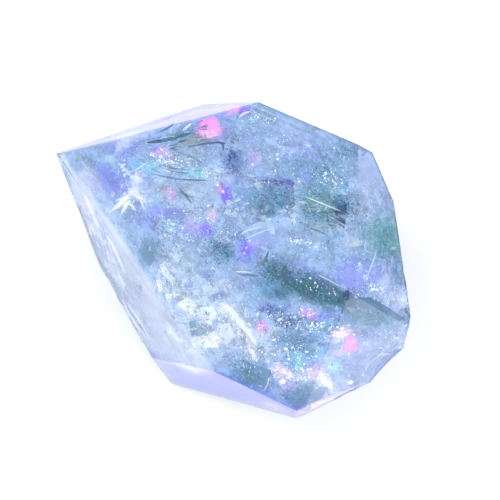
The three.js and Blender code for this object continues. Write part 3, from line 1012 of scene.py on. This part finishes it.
# Flat facets that catch or lose the light: outline, tone, heading of the strong side, share left
# at the faint side.
BRIGHT_FACETS = [
    ([(-3.7, -2.8), (-3.0, -2.4), (-2.4, -2.9), (-2.6, -3.4), (-2.8, -3.6), (-3.6, -3.0)], CREAM, 200, 0.6),
    ([(-2.3, -3.1), (-1.4, -3.0), (-1.1, -3.5), (-1.5, -4.2), (-2.1, -4.0), (-2.5, -3.5)], FROST, 60, 0.5),
    ([(-2.8, -5.1), (-1.9, -4.8), (-1.1, -4.6), (-1.0, -5.7), (-2.6, -5.7)], CREAM, 290, 0.5),
    ([(-1.1, -4.3), (-0.3, -4.1), (0.0, -4.9), (-0.4, -5.6), (-1.0, -5.4)], LILAC_WHITE, 40, 0.5),
    ([(-4.9, -0.3), (-4.6, -0.2), (-4.3, -0.8), (-3.7, -1.5), (-4.1, -1.5), (-4.6, -0.9)], FROST, 130, 0.4),
    ([(-5.1, -1.3), (-4.8, -1.2), (-4.6, -1.9), (-4.9, -2.1)], CREAM, 200, 0.4),
    ([(-4.5, -2.2), (-4.0, -2.2), (-4.2, -2.8), (-4.4, -2.6)], CREAM, 90, 0.4),
    ([(-1.0, -2.9), (-0.7, -2.7), (-0.3, -3.3), (-0.8, -3.6)], CREAM, 30, 0.4),
    ([(-4.3, -4.5), (-3.9, -4.7), (-3.3, -5.2), (-3.6, -5.4)], FROST, 120, 0.3),
    ([(0.9, -5.7), (1.3, -5.9), (1.6, -6.6), (1.4, -6.7)], CREAM, 60, 0.4),
    ([(-7.0, 4.5), (-6.5, 4.9), (-5.8, 3.9), (-6.4, 4.1)], CREAM, 250, 0.4),
    ([(-6.4, 5.9), (-6.1, 5.2), (-6.6, 4.8), (-6.7, 5.2)], FROST, 90, 0.3),
    ([(0.0, 4.9), (1.4, 4.6), (2.7, 3.3), (0.6, 3.0), (-0.6, 3.4)], STEEL, 100, 0.0),
    ([(0.5, 1.9), (2.8, 2.9), (4.6, 2.2), (4.4, 1.2), (1.6, 0.8)], PERIWINKLE, 110, 0.0),
    ([(8.1, 7.2), (8.7, 7.7), (9.8, 5.0), (9.4, 3.6), (8.4, 3.4), (8.0, 4.6)], LAVENDER, 100, 0.0),
    ([(3.9, 5.3), (4.7, 5.4), (5.0, 3.4), (4.5, 2.2), (3.8, 2.3), (4.0, 3.6)], PERIWINKLE, 180, 0.0),
    ([(4.3, 4.6), (5.7, 4.2), (7.4, 3.0), (7.1, 2.4), (5.4, 3.0), (4.4, 3.8)], SEA_GREEN, 90, 0.0),
    ([(0.2, 1.6), (0.6, 2.1), (2.4, 2.8), (3.9, 2.7), (3.8, 2.2), (2.2, 2.2)], ICE, 90, 0.1),
    ([(0.1, 1.1), (2.7, 2.05), (1.7, 1.3), (1.1, 0.4), (0.4, 0.1)], BLUE_VIOLET, 200, 0.0),
]
DARK_FACETS = [
    ([(7.0, -3.4), (7.6, -2.45), (8.8, -2.4), (9.6, -2.8), (11.3, -3.9), (9.4, -4.3), (7.4, -4.2)],
     SLATE, 85, 0.35),
    ([(7.2, -2.1), (7.5, -1.9), (7.65, -2.2), (7.4, -2.6), (7.1, -2.45)], NAVY, 30, 0.6),
    ([(-2.9, -4.0), (-2.5, -3.9), (-1.5, -4.9), (-2.8, -5.0)], STEEL, 150, 0.3),
    ([(6.2, 3.3), (7.4, 3.7), (7.4, 3.0), (6.5, 2.95)], NAVY, 10, 0.0),
    ([(6.3, 2.9), (7.35, 2.7), (7.25, 2.1), (6.7, 2.4)], NAVY, 10, 0.0),
    ([(2.9, -8.6), (5.2, -7.9), (6.2, -8.3), (5.2, -9.9), (4.0, -9.8)], STEEL, 300, 0.0),
    ([(1.0, -6.7), (2.4, -7.2), (2.1, -8.4), (0.3, -7.9), (-0.6, -7.0)], STEEL, 0, 0.0),
    ([(-5.9, 1.9), (-5.4, 1.9), (-5.0, 0.3), (-5.5, -0.4), (-6.2, 0.7)], STEEL, 300, 0.2),
    ([(-4.9, 3.1), (-3.9, 3.5), (-3.0, 3.0), (-3.7, 2.6), (-4.6, 2.7)], BLUE_VIOLET, 100, 0.3),
]

# Slender bright blades: ends, width, bend and tone.
BRIGHT_BLADES = [
    ((-6.9, 4.3), (-8.2, 3.1), 0.30, 0.05, CREAM),
    ((-6.7, 4.1), (-7.8, 3.9), 0.24, -0.04, FROST),
    ((-6.8, 4.0), (-7.5, 2.9), 0.20, 0.05, CREAM),
    ((-6.9, 3.8), (-6.4, 3.2), 0.20, 0.03, FROST),
    ((-6.3, 4.3), (-5.9, 3.4), 0.18, 0.03, CREAM),
    ((-7.6, 6.4), (-6.3, 4.9), 0.16, 0.10, ICE),
    ((-5.6, 6.5), (-7.4, 5.6), 0.14, 0.12, ICE),
    ((-0.6, -2.8), (0.4, -4.2), 0.34, 0.06, CREAM),
    ((0.2, -3.9), (1.0, -5.0), 0.30, 0.05, FROST),
    ((0.8, -4.6), (1.55, -5.7), 0.26, 0.05, CREAM),
    ((-0.2, -3.0), (1.2, -4.7), 0.16, -0.06, FROST),
    ((-4.3, -4.2), (-3.4, -5.5), 0.18, -0.08, FROST),
    ((-7.4, -2.9), (-5.6, -5.4), 0.22, -0.05, FROST),
    ((-7.0, -2.9), (-5.4, -5.6), 0.14, 0.10, PEARL),
    ((-9.9, 4.6), (-8.5, 1.0), 0.30, 0.10, PEARL),
    ((-8.4, 1.8), (-7.0, -1.2), 0.24, 0.08, PEARL),
    ((-3.4, 8.45), (-2.75, 9.0), 0.20, 0.0, FROST),
    ((0.3, 9.3), (1.1, 9.75), 0.18, 0.10, FROST),
    ((4.6, 4.2), (7.5, 3.0), 0.10, 0.02, FROST),
    ((6.2, 2.9), (7.5, 2.1), 0.09, 0.04, ICE),
    ((3.95, 2.9), (3.9, 2.2), 0.13, 0.04, FROST),
    ((0.6, 1.3), (2.6, 2.1), 0.12, 0.08, ICE),
    ((0.0, 1.5), (1.9, 2.2), 0.10, 0.12, LILAC_WHITE),
    ((1.3, -0.7), (2.2, 0.7), 0.12, -0.15, ICE),
    ((0.0, -0.75), (1.3, -0.85), 0.10, 0.05, FROST),
    ((5.4, -0.9), (7.1, -1.8), 0.10, 0.04, ICE),
    ((9.3, 0.6), (8.5, -1.4), 0.12, 0.06, ICE),
    ((1.9, -8.6), (2.3, -7.6), 0.10, -0.10, LILAC_WHITE),
    ((12.0, 1.0), (11.8, -0.6), 0.14, 0.02, LILAC_WHITE),
]

# Slender dark blades: ends, width, bend and tone.
DARK_BLADES = [
    ((-5.75, 7.70), (-2.6, 8.40), 0.30, -0.10, PINE),
    ((-5.75, 7.72), (-4.6, 7.85), 0.22, 0.0, NAVY),
    ((-4.2, 7.45), (-3.0, 8.0), 0.14, -0.04, SLATE),
    ((-3.1, 7.40), (-0.7, 7.75), 0.16, 0.06, NAVY),
    ((-4.9, 8.40), (-3.8, 9.05), 0.16, -0.06, NAVY),
    ((-1.2, 7.75), (-0.5, 7.62), 0.18, 0.02, NAVY),
    ((-0.75, 7.70), (-0.7, 7.15), 0.20, 0.02, NAVY),
    ((-5.6, 5.75), (-1.6, 5.25), 0.10, -0.20, SLATE),
    ((-4.9, 6.30), (-2.6, 5.95), 0.09, -0.12, STEEL),
    ((-4.6, 6.05), (-3.0, 5.70), 0.08, -0.08, SLATE),
    ((-4.1, 7.20), (-1.9, 6.30), 0.08, 0.16, STEEL),
    ((1.3, -0.6), (2.3, 0.7), 0.26, -0.16, PINE),
    ((0.3, -0.95), (1.7, -1.05), 0.20, 0.04, SLATE),
    ((6.5, 3.2), (7.4, 3.15), 0.20, 0.0, NAVY),
    ((6.5, 2.75), (7.35, 2.4), 0.20, 0.0, NAVY),
    ((-3.7, 4.8), (-2.7, 3.6), 0.16, 0.05, SLATE),
    ((-3.3, 4.45), (-2.9, 4.1), 0.16, 0.0, NAVY),
    ((4.7, 2.2), (6.2, 1.6), 0.13, 0.06, SLATE),
    ((0.7, 2.0), (-0.4, 1.4), 0.16, 0.06, SLATE),
    ((5.4, 7.9), (6.9, 4.9), 0.12, -0.25, STEEL),
    ((-7.6, -3.2), (-5.7, -5.9), 0.10, -0.05, SEA_GREEN),
]

# Clusters of broken panels: centre, radii, turn, number, greatest size, heading and tone.
SHARD_CLUSTERS = [
    ((-6.6, 4.5), (0.8, 1.1), 20, 26, 0.55, -60, FROST),
    ((-7.3, 3.6), (0.7, 0.45), 45, 22, 0.42, 45, CREAM),
    ((-6.3, 5.4), (0.5, 0.9), 20, 16, 0.38, -70, ICE),
    ((-2.6, -3.2), (1.9, 1.2), -30, 26, 0.50, -50, FROST),
    ((-1.9, -5.0), (1.6, 0.9), -10, 20, 0.50, -10, CREAM),
    ((-4.5, -1.3), (0.5, 1.8), 25, 40, 0.36, -60, FROST),
    ((0.5, -4.2), (2.0, 0.5), -52, 90, 0.30, -52, CREAM),
    ((-0.6, -3.4), (2.0, 1.6), -40, 40, 0.30, -50, FROST),
    ((1.0, -6.0), (0.5, 0.8), 20, 16, 0.32, -60, FROST),
    ((-3.6, -4.9), (1.2, 0.6), -50, 26, 0.36, -55, LILAC_WHITE),
    ((-4.3, 2.3), (0.5, 0.6), -30, 16, 0.24, -40, MINT),
    ((3.3, -7.3), (1.0, 0.6), -25, 30, 0.34, -30, FROST),
    ((6.0, -7.8), (0.9, 0.5), -35, 30, 0.34, -30, FROST),
    ((6.9, -4.8), (0.7, 0.45), 20, 22, 0.28, 20, FROST),
    ((2.6, 2.9), (2.6, 0.8), 10, 22, 0.50, 15, ICE),
    ((-0.6, 4.0), (1.5, 1.2), 0, 20, 0.50, 0, ICE),
    ((-8.9, 1.6), (0.4, 4.0), 26, 16, 0.90, -64, LILAC_WHITE),
    ((-7.6, -2.8), (0.4, 3.0), 30, 16, 0.90, -60, LILAC_WHITE),
]

# Clusters of short cracks: centre, radii, turn, number, greatest length, heading, its spread
# and tone.
CRACK_CLUSTERS = [
    ((-3.7, 6.1), (2.2, 0.7), -8, 40, 0.9, -9, 9, FROST),
    ((-3.7, 6.1), (2.2, 0.7), -8, 40, 0.9, -9, 9, SLATE),
    ((-3.4, 8.0), (2.4, 0.7), 12, 40, 1.0, 14, 8, PINE),
    ((-3.4, 8.1), (2.4, 0.7), 12, 18, 0.8, 14, 10, ICE),
    ((-0.1, 7.0), (0.7, 1.1), -10, 46, 0.35, 70, 50, NAVY),
    ((-4.4, 1.3), (0.9, 2.2), 20, 70, 0.55, -62, 22, FROST),
    ((-4.4, 1.2), (0.9, 2.2), 20, 60, 0.45, -62, 25, SLATE),
    ((-3.6, -1.3), (1.6, 1.6), 0, 90, 0.50, -56, 28, FROST),
    ((-3.4, -1.2), (1.6, 1.6), 0, 60, 0.40, -56, 30, SLATE),
    ((-2.2, -4.0), (2.0, 1.6), -30, 90, 0.45, -50, 50, SLATE),
    ((-2.2, -4.0), (2.0, 1.6), -30, 50, 0.45, -50, 50, FROST),
    ((-0.9, 0.6), (1.4, 1.0), -10, 60, 0.35, 20, 60, PINE),
    ((3.4, -3.8), (2.6, 0.9), -8, 90, 0.30, -10, 60, NAVY),
    ((4.6, -4.9), (2.2, 0.8), -8, 60, 0.35, 10, 30, SLATE),
    ((5.0, -6.2), (2.4, 1.2), -20, 60, 0.35, 40, 40, STEEL),
    ((0.9, -7.0), (1.6, 1.1), -25, 80, 0.35, -70, 30, SLATE),
    ((0.2, -6.8), (1.4, 1.0), -25, 50, 0.40, -75, 25, ICE),
    ((2.4, 3.9), (2.0, 1.3), 5, 70, 0.35, 10, 40, SLATE),
    ((3.0, 5.15), (1.8, 0.25), -5, 50, 0.35, -8, 20, NAVY),
    ((5.5, 3.5), (2.3, 1.4), -15, 110, 0.40, -20, 30, SLATE),
    ((5.5, 3.2), (2.3, 1.4), -15, 50, 0.40, -20, 25, SAND),
    ((5.8, 5.6), (2.2, 1.2), -25, 60, 0.30, -30, 50, INDIGO),
    ((7.2, 7.2), (0.5, 1.6), 30, 36, 0.35, -60, 20, PINE),
    ((3.0, -1.0), (1.6, 0.9), -20, 60, 0.40, -20, 50, PINE),
    ((5.2, -1.9), (2.6, 0.8), -18, 90, 0.45, -25, 50, PINE),
    ((5.2, -1.8), (2.6, 0.8), -18, 46, 0.40, -22, 50, AQUA),
    ((9.2, 3.0), (0.8, 3.6), 10, 34, 0.60, -80, 10, PERIWINKLE),
    ((10.2, -1.0), (1.0, 2.6), 10, 34, 0.60, -78, 12, PERIWINKLE),
    ((9.9, 1.0), (0.9, 1.4), 20, 50, 0.60, -70, 12, TEAL),
    ((9.8, -5.4), (1.6, 1.4), 0, 40, 0.50, 60, 40, LILAC_WHITE),
    ((-8.7, 1.2), (0.5, 4.2), 26, 30, 1.40, -64, 3, PEARL),
    ((-8.5, 1.2), (0.6, 4.2), 26, 50, 1.20, -64, 3, BLUE_VIOLET),
    ((-7.2, -3.0), (0.5, 3.4), 30, 30, 1.30, -60, 4, PEARL),
    ((-7.0, -3.0), (0.6, 3.4), 30, 50, 1.10, -60, 4, BLUE_VIOLET),
]

# Swarms of glints: centre, radii, turn, number.
GLINTS = [
    ((-4.1, 6.5), (1.3, 0.22), -8, 42),
    ((-5.4, 6.9), (0.9, 0.3), -15, 8),
    ((4.2, 1.25), (0.8, 0.25), -8, 31),
    ((5.6, 0.8), (0.9, 0.3), -10, 11),
    ((6.4, 5.3), (1.5, 0.7), -20, 42),
    ((8.6, -1.2), (0.25, 0.5), 10, 15),
    ((9.6, -2.0), (0.45, 0.8), 40, 25),
    ((3.7, -3.9), (2.2, 0.6), -5, 56),
    ((5.4, -4.3), (0.9, 0.6), -20, 35),
    ((6.9, -4.5), (0.9, 0.6), -20, 18),
    ((5.4, -1.8), (2.2, 0.4), -18, 28),
    ((1.3, 9.3), (0.5, 0.3), 20, 11),
    ((2.2, 9.2), (0.4, 0.2), 0, 8),
    ((3.2, 7.4), (0.4, 0.9), 0, 11),
    ((-7.2, 6.1), (0.5, 0.7), 30, 10),
    ((-1.6, -3.6), (3.0, 1.8), -20, 49),
    ((1.6, -6.8), (2.2, 1.4), 0, 35),
    ((4.4, -5.8), (2.0, 0.8), -10, 42),
    ((5.5, -7.4), (1.6, 1.0), -20, 28),
    ((3.0, 5.0), (4.5, 3.0), -10, 42),
    ((-3.5, 2.4), (3.2, 2.8), 0, 32),
    ((-2.9, 2.8), (0.5, 0.25), -35, 8),
    ((-4.2, 2.4), (0.5, 0.3), -30, 8),
    ((-2.9, 1.6), (0.2, 0.5), 30, 8),
    ((-1.7, 5.75), (0.25, 0.2), 0, 6),
    ((-0.3, 1.9), (0.4, 0.2), 0, 6),
    ((-5.2, -7.9), (0.2, 0.1), 0, 4),
]

PANEL_TONES = np.array([FROST, ICE, BLUE_VIOLET, AQUA, STEEL, SLATE, INDIGO])
PANEL_TONE_SHARES = (0.28, 0.18, 0.12, 0.06, 0.14, 0.14, 0.08)
PANEL_LEAN = 0.4

VEIL_TONES = np.array([PERIWINKLE, LILAC_WHITE, ICE, LAVENDER, STEEL, BLUE_VIOLET, FROST])

VEIL_COUNT = 28
FLAKE_COUNT = 9000
DEEP_FLAKE_COUNT = 5000
PANEL_COUNT = 2200
LOOSE_CRACK_COUNT = 1000
FACET_UNDER = 0.42
BLADE_UNDER = 0.28
SHINE_UNDER = 0.50


def make_mists(rng):
    """Mists under the upper, the steep and the lower faces, deeper ones, and the veils."""
    upper = [wide_mist(under=0.8, swell=1.3, rim_under=0.10, step=0.12, strength=0.62)]
    crackled = film_material("upper_mist", glow=0.40, ragged=0.75, cell=1500, wisp=800, contrast=0.42)
    join_sheets("upper_mist", upper, crackled)
    side = [steep_mist(kind, under=0.12, fade=0.25, step=0.08, strength=1.05) for kind in STEEP_FACES]
    join_sheets("side_mist", side, plain_film("side_mist", glow=0.52))
    down = np.flatnonzero((FACE_NORMALS[:, 2] < 0) & (FACE_NORMALS[:, 2] > DOWNWARD))
    lower = [plane_mist(match, CROWN, under=0.5, fade=0.8, step=0.25, strength=0.38) for match in down]
    join_sheets("lower_mist", lower, plain_film("lower_mist", glow=0.30))
    middle = [wide_mist(under=2.2, swell=2.4, rim_under=0.20, step=0.16, strength=0.62)]
    middle += [steep_mist(kind, under=0.6, fade=1.5, step=0.14, strength=0.70) for kind in STEEP_FACES]
    middle += [steep_mist(WEST_BAND, under=0.9, fade=0.4, step=0.14, strength=0.80)]
    crackled = film_material("middle_mist", glow=0.34, ragged=0.8, cell=1100, wisp=600, contrast=0.45)
    join_sheets("middle_mist", middle, crackled)
    drifting_veils(rng, VEIL_COUNT, plain_film("drifting_veil", glow=0.28))


def make_deep_flakes(rng):
    """Fine flakes all through the crystal."""
    centres = LOW + (HIGH - LOW) * rng.uniform(0, 1, (DEEP_FLAKE_COUNT, 3))
    tones = PANEL_TONES[rng.choice(len(PANEL_TONES), DEEP_FLAKE_COUNT)]
    tones = brightened(rng, tones, spread=0.2)
    sizes = power_sizes(rng, DEEP_FLAKE_COUNT, smallest=0.035 * MM, power=2.6, most=4)
    scatter("deep_flakes", rng, FLAKE, random_turns(rng, DEEP_FLAKE_COUNT), centres, sizes, tones,
            grain_material("deep_flake", glow=0.25, roughness=0.4), flat=0.2)


def make_flakes(rng):
    """Crackle flakes near the mists, in the mist's own tints, and some icier or darker."""
    x, y = level_places(rng, FLAKE_COUNT)
    under = 0.45 + rng.exponential(0.8, FLAKE_COUNT)
    centres, face = under_ceiling(x, y, under, under)
    tints, crackle = mist_tints(x, y, face)
    keep = rng.uniform(0, 1, FLAKE_COUNT) < crackle
    centres = centres[keep]
    tints = brightened(rng, tints[keep], spread=0.28)
    kind = rng.uniform(0, 1, len(tints))
    tints = mixed(tints, 0.5 * (kind < 0.10), ICE)
    tints = mixed(tints, 0.6 * (kind > 0.88), SLATE)
    sizes = power_sizes(rng, len(tints), smallest=0.055 * MM, power=3.0, most=3.5)
    turns = tilted_turns(rng, len(tints), lean=1.0)
    scatter("crackle_flakes", rng, FLAKE, turns, centres, sizes, tints,
            grain_material("crackle_flake", glow=0.38, roughness=0.5), flat=0.2)


def flow_heading(x):
    """Heading in degrees that the crackle follows: along the west band, and level in the east."""
    return np.interp(x, (-6, 0, 8), (-60, -48, -16))


def loose_panels(rng):
    """Panels all over, each the tint of the mist there mixed with a tone of its own.

    They are weaker where the mist is dark or calm.
    """
    x, y = level_places(rng, PANEL_COUNT)
    tints, crackle = mist_tints(x, y, under_ceiling(x, y, 0.3, 0.3)[1])
    own = PANEL_TONES[rng.choice(len(PANEL_TONES), PANEL_COUNT, p=PANEL_TONE_SHARES)]
    tones = mixed(tints, rng.uniform(0.25, 0.9, PANEL_COUNT), own)
    sizes = power_sizes(rng, PANEL_COUNT, smallest=0.14, power=2.2, most=4.5)
    under = 0.32 + rng.exponential(0.25, PANEL_COUNT)
    heading = flow_heading(x) + rng.normal(0, 30, PANEL_COUNT)
    narrow = rng.uniform(0.2, 0.7, PANEL_COUNT)
    strength = crackle * rng.uniform(0.2, 0.9, PANEL_COUNT) * np.clip(tints.mean(1) / 0.42, 0.3, 1)
    return shards(rng, x, y, sizes, heading, narrow, under, tones, strength)


def clustered_panels(rng, centre, radii, turn, count, size, heading, tone):
    """A cluster of broken panels in one tone, each a little lighter or darker."""
    x, y = oval_cloud(rng, count, centre, radii, turn, under=0.4, thick=0)[:, :2].T / MM
    sizes = size * rng.uniform(0.3, 1.0, count)
    headings = heading + rng.normal(0, 22, count)
    narrow = rng.uniform(0.2, 0.7, count)
    under = rng.uniform(0.28, 0.5, count)
    tones = brightened(rng, np.tile(tone, (count, 1)), spread=0.12)
    strength = rng.uniform(0.45, 1.0, count)
    return shards(rng, x, y, sizes, headings, narrow, under, tones, strength)


def make_panels(rng):
    """Broken panels, loose and in clusters."""
    sheets = [keep_inside(loose_panels(rng))]
    sheets += [keep_inside(clustered_panels(rng, *cluster)) for cluster in SHARD_CLUSTERS]
    join_sheets("fracture_panels", sheets, plain_film("fracture_panel", glow=0.36), strength=0.8)


def loose_cracks(rng):
    """Cracks all over the crackled places, pale or dark."""
    x, y = level_places(rng, LOOSE_CRACK_COUNT)
    tints, crackle = mist_tints(x, y, under_ceiling(x, y, 0.3, 0.3)[1])
    paler = rng.uniform(0, 1, (LOOSE_CRACK_COUNT, 1)) < np.clip(tints.mean(1), 0.1, 0.5)[:, None]
    tones = mixed(tints, np.full(LOOSE_CRACK_COUNT, 0.6), np.where(paler, FROST, SLATE))
    lengths = power_sizes(rng, LOOSE_CRACK_COUNT, smallest=0.13, power=2.2, most=5)
    widths = 0.012 + 0.03 * rng.uniform(0, 1, LOOSE_CRACK_COUNT) ** 2
    heading = flow_heading(x) + rng.normal(0, 38, LOOSE_CRACK_COUNT)
    under = 0.3 + rng.exponential(0.2, LOOSE_CRACK_COUNT)
    strength = 0.9 * crackle * rng.uniform(0.3, 1.0, LOOSE_CRACK_COUNT)
    return cracks(rng, x, y, lengths, widths, heading, under, tones, strength)


def clustered_cracks(rng, centre, radii, turn, count, length, heading, spread, tone):
    """A cluster of short cracks in one tone, each a little lighter or darker."""
    x, y = oval_cloud(rng, count, centre, radii, turn, under=0.4, thick=0)[:, :2].T / MM
    lengths = length * rng.uniform(0.3, 1.0, count)
    widths = 0.012 + 0.03 * rng.uniform(0, 1, count)
    headings = heading + rng.normal(0, spread, count)
    under = rng.uniform(0.24, 0.45, count)
    tones = brightened(rng, np.tile(tone, (count, 1)), spread=0.15)
    strength = rng.uniform(0.3, 0.9, count)
    return cracks(rng, x, y, lengths, widths, headings, under, tones, strength)


def make_cracks(rng):
    """Short cracks, loose and in clusters."""
    sheets = [keep_inside(loose_cracks(rng))]
    sheets += [keep_inside(clustered_cracks(rng, *cluster)) for cluster in CRACK_CLUSTERS]
    join_sheets("fine_cracks", sheets, plain_film("fine_crack", glow=0.32), strength=0.85)


def make_clouds(rng):
    """The dark clouds, whose grains mix the two tones of their cloud."""
    centres, sizes, tones = [], [], []
    for centre, radii, turn, count, first, second in CLOUDS:
        centres.append(oval_cloud(rng, count, centre, radii, turn, under=0.4, thick=0.7))
        sizes.append(rng.uniform(0.03, 0.085, count) * MM)
        share = rng.uniform(0, 1, (count, 1))
        tones.append(brightened(rng, first * (1 - share) + second * share, spread=0.2))
    centres = np.concatenate(centres)
    scatter("cloud_grains", rng, GRAIN, random_turns(rng, len(centres)), centres,
            np.concatenate(sizes), np.concatenate(tones),
            grain_material("cloud_grain", glow=0.08, roughness=0.7), flat=0.5)


def make_shines():
    """The fractures that shine, each a little deeper than the last."""
    sheets = [keep_inside(soft_disc(centre, radii, turn, tone, SHINE_UNDER + 0.01 * k, strength))
              for k, (centre, radii, turn, tone, _, strength) in enumerate(SHINES)]
    shine = film_material("fracture_shine", glow=0.45, ragged=0.35, cell=2600, wisp=2200, contrast=0.35)
    join_sheets("shining_fractures", sheets, shine, strength=0.85)


def make_facets():
    """The bright and the dark facets, each kind with its slender blades.

    The bright facets lie a little apart in depth, because they overlap.
    """
    kinds = (
        ("bright_facet", 0.42, BRIGHT_FACETS, 0.02, BRIGHT_BLADES, 90, 0.5),
        ("dark_facet", 0.08, DARK_FACETS, 0.0, DARK_BLADES, 0, 0.6),
    )
    for name, glow, facets, apart, blades, blade_heading, blade_faint in kinds:
        sheets = [facet(outline, tone, heading, faint, FACET_UNDER + apart * k)
                  for k, (outline, tone, heading, faint) in enumerate(facets)]
        sheets += [facet(blade(start, end, width, bend), tone, blade_heading, blade_faint, BLADE_UNDER)
                   for start, end, width, bend, tone in blades]
        sheets = [keep_inside(sheet) for sheet in sheets]
        join_sheets(name + "s", sheets, plain_film(name, glow), strength=0.85)


def make_glints(rng):
    """Glints in their swarms, and beside the fractures that shine, with a little of their tone."""
    centres, sizes, tones = [], [], []
    swarms = [(centre, radii, turn, FROST, count, 1.0) for centre, radii, turn, count in GLINTS]
    for centre, radii, turn, tone, count, _ in swarms + SHINES:
        centres.append(oval_cloud(rng, count, centre, radii, turn, under=0.26, thick=0.15))
        sizes.append(power_sizes(rng, count, smallest=0.04 * MM, power=2.2, most=3.2))
        tones.append(brightened(rng, np.tile(0.8 * FROST + 0.2 * tone, (count, 1)), spread=0.1))
    centres = np.concatenate(centres)
    scatter("glints", rng, FLAKE, random_turns(rng, len(centres)), centres,
            np.concatenate(sizes), np.concatenate(tones),
            grain_material("glint", glow=1.0, roughness=0.2), flat=0.4)


# ---------------------------------------------------------------- studio


FLOOR_HALF = 600 * MM
FLOOR_GAP = 0.02 * MM
CRYSTAL_MIDDLE = Vector((0, 0, 6 * MM))


def make_floor():
    """A wide level sheet just under the crystal."""
    material, tree = new_material("pale_floor")
    paint = add_node(tree, "ShaderNodeBsdfPrincipled", Base_Color=(0.90, 0.90, 0.90, 1), Roughness=0.9)
    finish_material(tree, paint)
    mesh = bpy.data.meshes.new("floor")
    corners = [(x * FLOOR_HALF, y * FLOOR_HALF, 0) for x, y in ((-1, -1), (1, -1), (1, 1), (-1, 1))]
    mesh.from_pydata(corners, [], [(0, 1, 2, 3)])
    mesh.materials.append(material)
    floor = add_object("floor", mesh)
    floor.location.z = LOW[2] - FLOOR_GAP


def soft_lamp(name, place, size, power):
    """A square area lamp that looks at the crystal's middle."""
    data = bpy.data.lights.new(name, "AREA")
    data.size = size
    data.energy = power
    lamp = add_object(name, data)
    lamp.location = place
    aim = CRYSTAL_MIDDLE - Vector(place)
    lamp.rotation_euler = aim.to_track_quat("-Z", "Y").to_euler()


def make_light():
    """An even pale studio all round, with a soft key lamp and a softer fill lamp."""
    world = bpy.data.worlds.new("studio")
    bpy.context.scene.world = world
    world.use_nodes = True
    back = world.node_tree.nodes["Background"]
    back.inputs["Color"].default_value = (0.96, 0.97, 1.0, 1)
    back.inputs["Strength"].default_value = 1.16
    soft_lamp("key_lamp", place=(-0.16, 0.14, 0.30), size=0.16, power=0.5)
    soft_lamp("fill_lamp", place=(0.20, -0.10, 0.22), size=0.20, power=0.3)


def make_camera():
    """The camera looks straight down."""
    data = bpy.data.cameras.new("camera")
    data.sensor_width = CAMERA_SENSOR
    data.lens = CAMERA_LENS
    data.clip_start = 0.01
    camera = add_object("camera", data)
    camera.location = (*CAMERA_ASIDE, CAMERA_ABOVE)
    bpy.context.scene.camera = camera


scene = bpy.context.scene
scene.view_settings.view_transform = "Standard"
scene.cycles.transmission_bounces = 8
scene.cycles.glossy_bounces = 2
scene.cycles.diffuse_bounces = 1
scene.cycles.transparent_max_bounces = 20

make_camera()
make_light()
make_floor()

crystal = bpy.data.objects["quartz_crystal"]
crystal.data.materials.clear()
crystal.data.materials.append(quartz_material())

rng = np.random.default_rng(7)
make_mists(rng)
make_flakes(rng)
make_deep_flakes(rng)
make_clouds(rng)
make_panels(rng)
make_cracks(rng)
make_shines()
make_facets()
make_glints(rng)
